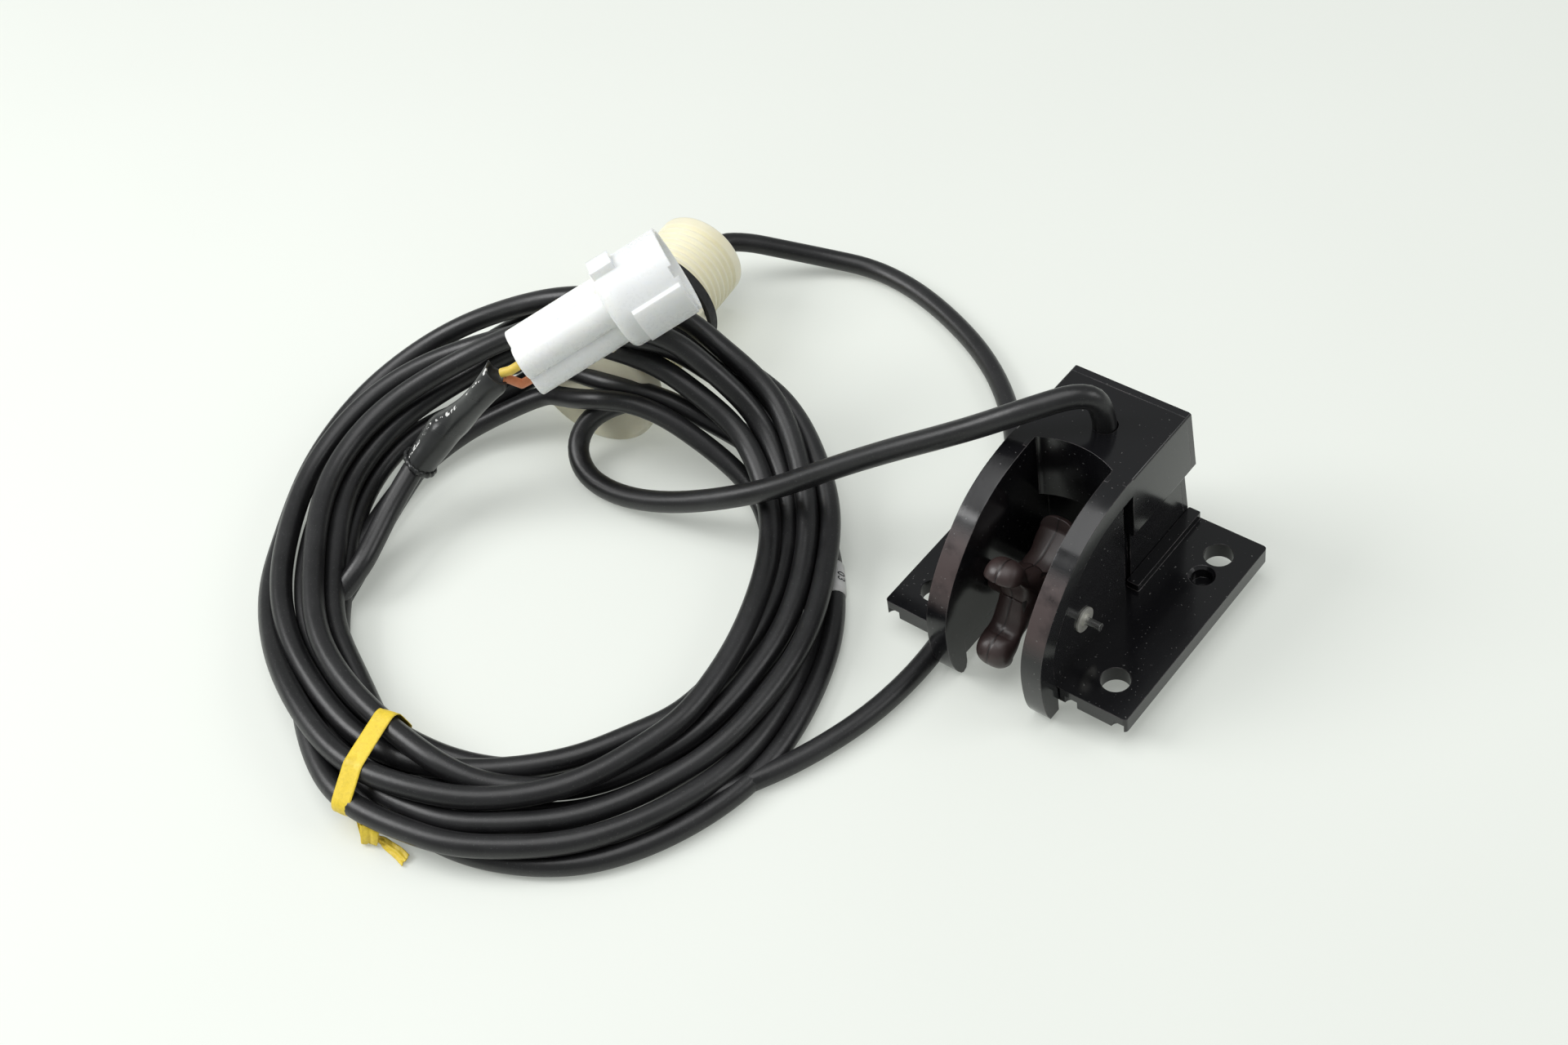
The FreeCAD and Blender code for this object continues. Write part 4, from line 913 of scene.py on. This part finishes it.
def paddle_outline():
    """One paddle seen along the axle, as distances out from the hub and sideways: up its back,
    round the head and back under its flat step. Beside it, the point each part draws in to: the
    head's centre, or the stalk's middle line."""
    turn = np.linspace(HEAD_FROM, HEAD_TO, 40)
    head = np.stack([HEAD_AT + HEAD_R * np.cos(turn), HEAD_R * np.sin(turn)], 1)
    back = through(PADDLE_ROOT + (tuple(head[0]),), np.linspace(0, 3.95, 16))
    step = np.linspace(0, 1, 7)[1:, None] ** 1.5 * (np.asarray(PADDLE_FOOT[0]) - head[-1]) + head[-1]
    front = through(PADDLE_FOOT, np.linspace(0, len(PADDLE_FOOT) - 1, 17)[1:])
    edge = np.concatenate([back, head, step, front])
    out = np.clip(edge[:, 0], 0, HEAD_AT)
    to_head = np.clip((edge[:, 0] - 9.0) / 4.0, 0, 1)
    return edge, np.stack([out, -0.6 * (1 - to_head)], 1)


def wheel_grid():
    """The four paddles as one closed outline, stacked across the wheel. At a share u of the half
    width the outline is drawn in towards its middle line by (1 - |u|^p)^(1/p), which rounds the
    sides like a pillow, and the half width is smaller at the necks. A shallow groove runs round
    at u = 0, where the mould parts."""
    edge, middle = paddle_outline()
    turn = PADDLE_FIRST + np.arange(PADDLES) * 2 * math.pi / PADDLES
    turn = turn[:, None, None]
    ring = []
    for flat in (edge, middle):
        out, side = flat[None, :, :1], flat[None, :, 1:]
        ring.append(np.concatenate([out * np.cos(turn) - side * np.sin(turn),
                                    out * np.sin(turn) + side * np.cos(turn)], -1).reshape(-1, 2))
    rows = np.sin(np.linspace(-0.5, 0.5, WHEEL_ROWS) * math.pi) * 0.996
    groove = 1 - PARTING_DEPTH * np.exp(-(rows / 0.03) ** 2)
    scale = (1 - np.abs(rows) ** WHEEL_SQUARENESS) ** (1 / WHEEL_SQUARENESS) * groove
    away = np.linalg.norm(ring[0], axis=1)
    half = WHEEL_HALF * (1 - NECK_PINCH * np.exp(-((away - NECK_AT) / 2.4) ** 2))
    grid = np.empty((len(rows), len(away), 3))
    grid[..., 0] = rows[:, None] * half
    grid[..., 1:] = ring[1] + scale[:, None, None] * (ring[0] - ring[1])
    return grid + np.asarray(WHEEL_AT)


def hub_grid():
    """The hub and its two bosses round the axle, turned: a closed profile of distances along and
    out from the axle, carried right round."""
    boss, side, cut = BOSS_HALF, WHEEL_HALF * 0.9, 0.3
    far_half = ((BOSS_R, side), (BOSS_R, boss - cut), (BOSS_R - cut, boss), (WHEEL_BORE, boss))
    near_half = tuple((out, -along) for out, along in far_half[::-1])
    hub = ((HUB_R, -side + 2 * cut), (HUB_R, side - 2 * cut))
    profile = np.asarray(near_half + hub + far_half + near_half[:1])
    turn = np.linspace(0, 2 * math.pi, 48, endpoint=False)
    grid = np.empty((len(profile), len(turn), 3))
    along = profile[:, None, 1] + np.where(np.abs(profile[:, None, 1]) < boss - 1, WHEEL_AT[0], 0)
    grid[..., 0] = along
    grid[..., 1] = WHEEL_AT[1] + profile[:, None, 0] * np.cos(turn)
    grid[..., 2] = WHEEL_AT[2] + profile[:, None, 0] * np.sin(turn)
    return grid


class OBJECT_OT_transducer_wheel(bpy.types.Operator):
    """Mould the paddlewheel's rounded paddles and its hub"""

    bl_idname = "object.transducer_wheel"
    bl_label = "Paddlewheel"

    def execute(self, context):
        paddles = surface("wheel_paddles", wheel_grid(), capped=True)
        hub = surface("wheel_hub", hub_grid())
        finish = moulded_wheel("wheel_brown", list(context.scene.transducer_bodies.wheel))
        for piece in (paddles, hub):
            wear(finish, piece)
            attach(piece, "paddle")
        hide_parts("paddle_wheel", "wheel_magnets")
        return {"FINISHED"}


# ---- finishes of the moulded and metal parts ---------------------------------------
def moulded_black(name, colour, low, high, rim_rub_and_reflection=False):
    """Glossy black moulding: faint flow marks, fine scratches, specks of dust and grey rubbing on
    its edges; with the rim flag set it adds a brownish matt band on the cheeks' leading edges, partly rubbed
    wear and partly painted reflection."""
    finish = Finish(name, Specular_IOR_Level=0.5, IOR=1.5)
    flow = finish.noise(38.0, 3.0, 0.5)
    scratch = finish.noise(420.0, 2.0, 0.4, finish.place(scale=(1, 0.06, 0.5), turn=(0, 0, 0.5)))
    edge = finish.edges(0.0004)
    patchy = finish.range(finish.noise(150.0, 4.0, 0.65), 0.42, 0.62)
    rubbed = edge * patchy
    dust = finish.range(finish.noise(1500.0, 1.0, 0.4), 0.74, 0.78)
    body = finish.mix(rubbed * 0.45, colour, (0.15, 0.13, 0.13))
    rough = finish.range(flow * 0.7 + scratch * 0.3, 0.35, 0.65, low, high) + rubbed * 0.15
    if rim_rub_and_reflection:
        # The band is partly rubbed wear and partly painted reflection: brownish base colour standing in for
        # the pinkish stretch of the edges' reflection.
        worn = finish.rim_band() * finish.range(finish.noise(150.0, 4.0, 0.6), 0.18, 0.52)
        body = finish.mix(worn * 0.75, body, (0.085, 0.060, 0.058))
        rough = rough + worn * 0.24
    finish.surface(Base_Color=finish.mix(dust * 0.4, body, (0.25, 0.25, 0.24)), Roughness=rough)
    return finish.bump(flow, 0.00006, 0.25, 0.00022)


def moulded_wheel(name, colour):
    """Brown satin moulding, slightly bloomed, and darker in the parting line round its middle."""
    finish = Finish(name, Specular_IOR_Level=0.5)
    cloud = finish.noise(190.0, 4.0, 0.6)
    across = finish.node("ShaderNodeSeparateXYZ", {}, {0: finish.node("ShaderNodeTexCoord", output="UV")}, 0)
    off_middle = across.maths("ABSOLUTE", across - 0.5)
    line = off_middle < PARTING_WIDTH
    body = finish.mix(finish.range(cloud, 0.3, 0.75), colour, [c * 1.6 for c in colour])
    finish.surface(Base_Color=finish.mix(line * 0.85, body, (0.004, 0.003, 0.003)),
                   Roughness=finish.range(cloud, 0.3, 0.7, 0.30, 0.46))
    return finish.bump(cloud, 0.00008, 0.5)


def bright_metal(name, colour, rough, metal=1.0):
    """Turned steel: fine rings of brushing and small dull spots."""
    finish = Finish(name, Metallic=metal)
    brushed = finish.noise(1800.0, 2.0, 0.5, finish.place(scale=(0.15, 1, 1)))
    spots = finish.range(finish.noise(500.0, 3.0, 0.6), 0.55, 0.7)
    finish.surface(Base_Color=finish.mix(spots * 0.4, colour, [c * 0.6 for c in colour]),
                   Roughness=finish.range(brushed, 0.3, 0.7, rough, rough + 0.16))
    return finish.bump(brushed, 0.00001, 0.3, 0.00006)


def cast_nylon(name, colour, deep, rough, scatter):
    """Translucent nylon: soft clouding inside, slightly pearly skin and worn edges."""
    finish = Finish(name, Subsurface_Weight=scatter, Subsurface_Radius=(1.0, 0.9, 0.75),
                    Subsurface_Scale=0.003, Specular_IOR_Level=0.5)
    cloud = finish.noise(90.0, 4.0, 0.55)
    grain = finish.noise(1100.0, 3.0, 0.6)
    body = finish.mix(finish.range(cloud, 0.3, 0.75), colour, deep)
    skin = grain * 0.5 + cloud * 0.5
    worn = [min(1, c * 1.08) for c in colour]
    finish.surface(Base_Color=finish.mix(finish.edges(0.0006) * 0.35, body, worn),
                   Roughness=finish.range(skin, 0.35, 0.65, rough, rough + 0.14))
    return finish.bump(skin, 0.00010, 0.5, 0.0004)


def plain_finish(name, colour, rough, grain_scale, mottle=0.75):
    """A quiet matt or satin surface with a mottled tint and a fine grain."""
    finish = Finish(name, Specular_IOR_Level=0.4)
    grain = finish.noise(grain_scale, 4.0, 0.65)
    finish.surface(Base_Color=finish.mix(finish.range(grain, 0.3, 0.7), colour, [c * mottle for c in colour]),
                   Roughness=finish.range(grain, 0.3, 0.7, rough, min(1.0, rough + 0.2)))
    return finish.bump(grain, 0.00015, 0.5)


class OBJECT_OT_transducer_finishes(bpy.types.Operator):
    """Give every moulded, metal and hidden part its finish"""

    bl_idname = "object.transducer_finishes"
    bl_label = "Part finishes"

    def execute(self, context):
        colours = context.scene.transducer_bodies
        black = list(colours.housing)
        cream = list(colours.cream)
        shell = list(colours.shell)
        finishes = (
            (moulded_black("plate_black", black, 0.12, 0.20), ("bracket_plate",)),
            (moulded_black("housing_black", black, 0.12, 0.20, rim_rub_and_reflection=True), ("sensor_body",)),
            (moulded_black("cap_black", [c * 1.3 for c in black], 0.14, 0.26), ("end_cap",)),
            (bright_metal("pin_steel", (0.40, 0.40, 0.39), 0.18), ("axle_pin", "body_screws")),
            (bright_metal("nut_steel", (0.56, 0.55, 0.51), 0.36, 0.7), ("push_nut",)),
            (bright_metal("contact_tin", (0.70, 0.69, 0.66), 0.22), ("contact_pins",)),
            (bright_metal("magnet_grey", (0.30, 0.30, 0.31), 0.35), ("wheel_magnets",)),
            (cast_nylon("stem_cream", cream, [c * s for c, s in zip(cream, (0.93, 0.91, 0.84))], 0.34, 0.35),
             ("transducer_housing", "hull_nut")),
            (cast_nylon("plug_nylon", shell, [c * 0.93 for c in shell], 0.22, 0.55), ("plug_shell",)),
            (plain_finish("washer_rubber", (0.014, 0.014, 0.015), 0.55, 700.0),
             ("rubber_washer", "stem_gland")),
            (plain_finish("wire_yellow", (0.80, 0.58, 0.10), 0.34, 900.0, 0.85), ("wire_yellow",)),
            (plain_finish("wire_orange", (0.72, 0.26, 0.12), 0.34, 900.0, 0.85), ("wire_orange",)),
            (plain_finish("wire_black", (0.02, 0.02, 0.02), 0.34, 900.0), ("wire_black",)),
            (plain_finish("potting_black", (0.02, 0.02, 0.022), 0.6, 250.0),
             ("body_potting", "stem_potting")),
            (plain_finish("board_green", (0.015, 0.12, 0.04), 0.4, 350.0), ("hall_board",)),
            (plain_finish("chip_black", (0.02, 0.02, 0.02), 0.5, 800.0), ("hall_chip",)),
            (plain_finish("disc_ceramic", (0.55, 0.50, 0.40), 0.6, 500.0, 0.9), ("piezo_disc",)),
            (plain_finish("liner_cork", (0.42, 0.24, 0.11), 0.8, 420.0, 0.45), ("cork_liner",)),
        )
        for finish, nodes in finishes:
            wear(finish, *(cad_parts[node] for node in nodes))
        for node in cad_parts.values():
            rounded_shading(node)
        return {"FINISHED"}


# ---- table, lamps and camera --------------------------------------------------------
def lamp(name, place, aim, size, power):
    """A soft square lamp that looks at a point."""
    data = bpy.data.lights.new(name, "AREA")
    data.shape = "RECTANGLE"
    data.size = data.size_y = size
    data.energy = power
    piece = bpy.data.objects.new(name, data)
    bpy.context.scene.collection.objects.link(piece)
    back = unit(np.subtract(place, aim))
    side = unit(np.cross((0.0, 1.0, 0.01), back))
    rise = np.cross(back, side)
    piece.matrix_world = Matrix([[side[k], rise[k], back[k], place[k]] for k in range(3)] + [[0, 0, 0, 1]])
    return piece


def lit_floor():
    """The pale table, flat in both directions. Rays from the camera and through glass see it
    partly glowing, and fully so far away, where the lamps no longer reach; nearer by it keeps
    the shadows."""
    side = np.linspace(-FLOOR_REACH, FLOOR_REACH, 9)
    x, y = np.meshgrid(side, side, indexing="ij")
    level = np.full_like(x, TABLE_TOP - 0.05)
    floor = surface("table_top", np.stack([x, y, level], -1)[:, ::-1], closed_across=False)
    finish = Finish("table_white", Specular_IOR_Level=0.25)
    tone = finish.noise(6.0, 2.0, 0.5)
    finish.surface(Base_Color=finish.mix(finish.range(tone, 0.3, 0.7), FLOOR_PALE, FLOOR_SHADE),
                   Roughness=finish.range(tone, 0.3, 0.7, 0.45, 0.55))
    glow = finish.node("ShaderNodeEmission", {}, {"Color": GLOW_COLOUR})
    here = finish.node("ShaderNodeTexCoord", output="Object")
    away = finish.node("ShaderNodeVectorMath", {"operation": "LENGTH"}, {0: here}, "Value")
    share = finish.range(away, FLOOR_GLOW_FROM, FLOOR_GLOW_TO, FLOOR_GLOW, 1.0)
    shown = Signal(finish, finish.shader.outputs[0])
    both = finish.node("ShaderNodeMixShader", {}, {0: finish.seen(1.0) * share, 1: shown, 2: glow})
    finish.feed(finish.tree.nodes["Material Output"].inputs["Surface"], both)
    wear(finish, floor)
    return floor


def pale_world():
    """A quiet grey world that lights the set, which seen rays meet as near white."""
    world = bpy.data.worlds.new("studio")
    world.use_nodes = True
    nodes = Nodes(world.node_tree)
    grey = world.node_tree.nodes["Background"]
    nodes.feed(grey.inputs["Color"], WORLD_GREY)
    nodes.feed(grey.inputs["Strength"], 1.0)
    plain = Signal(nodes, grey.outputs[0])
    white = nodes.node("ShaderNodeBackground", {}, {"Color": WORLD_WHITE})
    blend = nodes.node("ShaderNodeMixShader", {}, {0: nodes.seen(GLOSSY_SHARE), 1: plain, 2: white})
    nodes.feed(world.node_tree.nodes["World Output"].inputs["Surface"], blend)
    return world


class OBJECT_OT_transducer_stage(bpy.types.Operator):
    """Set the table, the lamps and the camera"""

    bl_idname = "object.transducer_stage"
    bl_label = "Stage"

    def execute(self, context):
        colours = context.scene.transducer_bodies
        lit_floor()
        lamp("overhead_lamp", (-0.10, -0.12, 1.05), (-0.08, -0.03, 0), 0.8, colours.overhead_power)
        lamp("key_lamp", (-0.62, -0.40, 0.62), (-0.05, -0.03, 0), 0.45, colours.key_power)
        lamp("side_lamp", (0.75, 0.45, 0.70), (-0.05, -0.03, 0), 0.5, colours.fill_power)
        context.scene.world = pale_world()
        data = bpy.data.cameras.new("camera")
        data.lens = CAMERA_LENS
        data.sensor_width = 36.0
        data.clip_start = 0.01
        camera = bpy.data.objects.new("camera", data)
        context.scene.collection.objects.link(camera)
        right = unit(CAMERA_RIGHT)
        back = -unit(CAMERA_AHEAD)
        rise = np.cross(back, right)
        camera.matrix_world = Matrix([[right[k], rise[k], back[k], CAMERA_AT[k] * MM] for k in range(3)]
                                     + [[0, 0, 0, 1]])
        context.scene.camera = camera
        context.scene.view_settings.view_transform = "Standard"
        return {"FINISHED"}


STEPS = (OBJECT_OT_transducer_stage, OBJECT_OT_transducer_cables, OBJECT_OT_transducer_tie,
         OBJECT_OT_transducer_marker, OBJECT_OT_transducer_sleeve, OBJECT_OT_transducer_wheel,
         OBJECT_OT_transducer_finishes)


class VIEW3D_PT_transducer_set(bpy.types.Panel):
    """Lists the steps that build the set."""

    bl_label = "Transducer Set"
    bl_idname = "VIEW3D_PT_transducer_set"
    bl_space_type = "VIEW_3D"
    bl_region_type = "UI"
    bl_category = "Transducer Set"

    def draw(self, context):
        for step in STEPS:
            self.layout.operator(step.bl_idname)
        for group in (context.scene.transducer_cables, context.scene.transducer_bodies):
            for key in group.bl_rna.properties.keys():
                if key not in ("rna_type", "name"):
                    self.layout.prop(group, key)


CLASSES = (TransducerCables, TransducerBodies, *STEPS, VIEW3D_PT_transducer_set)


def register():
    for kind in CLASSES:
        bpy.utils.register_class(kind)
    bpy.types.Scene.transducer_cables = bpy.props.PointerProperty(type=TransducerCables)
    bpy.types.Scene.transducer_bodies = bpy.props.PointerProperty(type=TransducerBodies)


def unregister():
    del bpy.types.Scene.transducer_bodies
    del bpy.types.Scene.transducer_cables
    for kind in reversed(CLASSES):
        bpy.utils.unregister_class(kind)


def main():
    register()
    for step in STEPS:
        area, action = step.bl_idname.split(".")
        getattr(getattr(bpy.ops, area), action)()


if __name__ == "__main__":
    main()
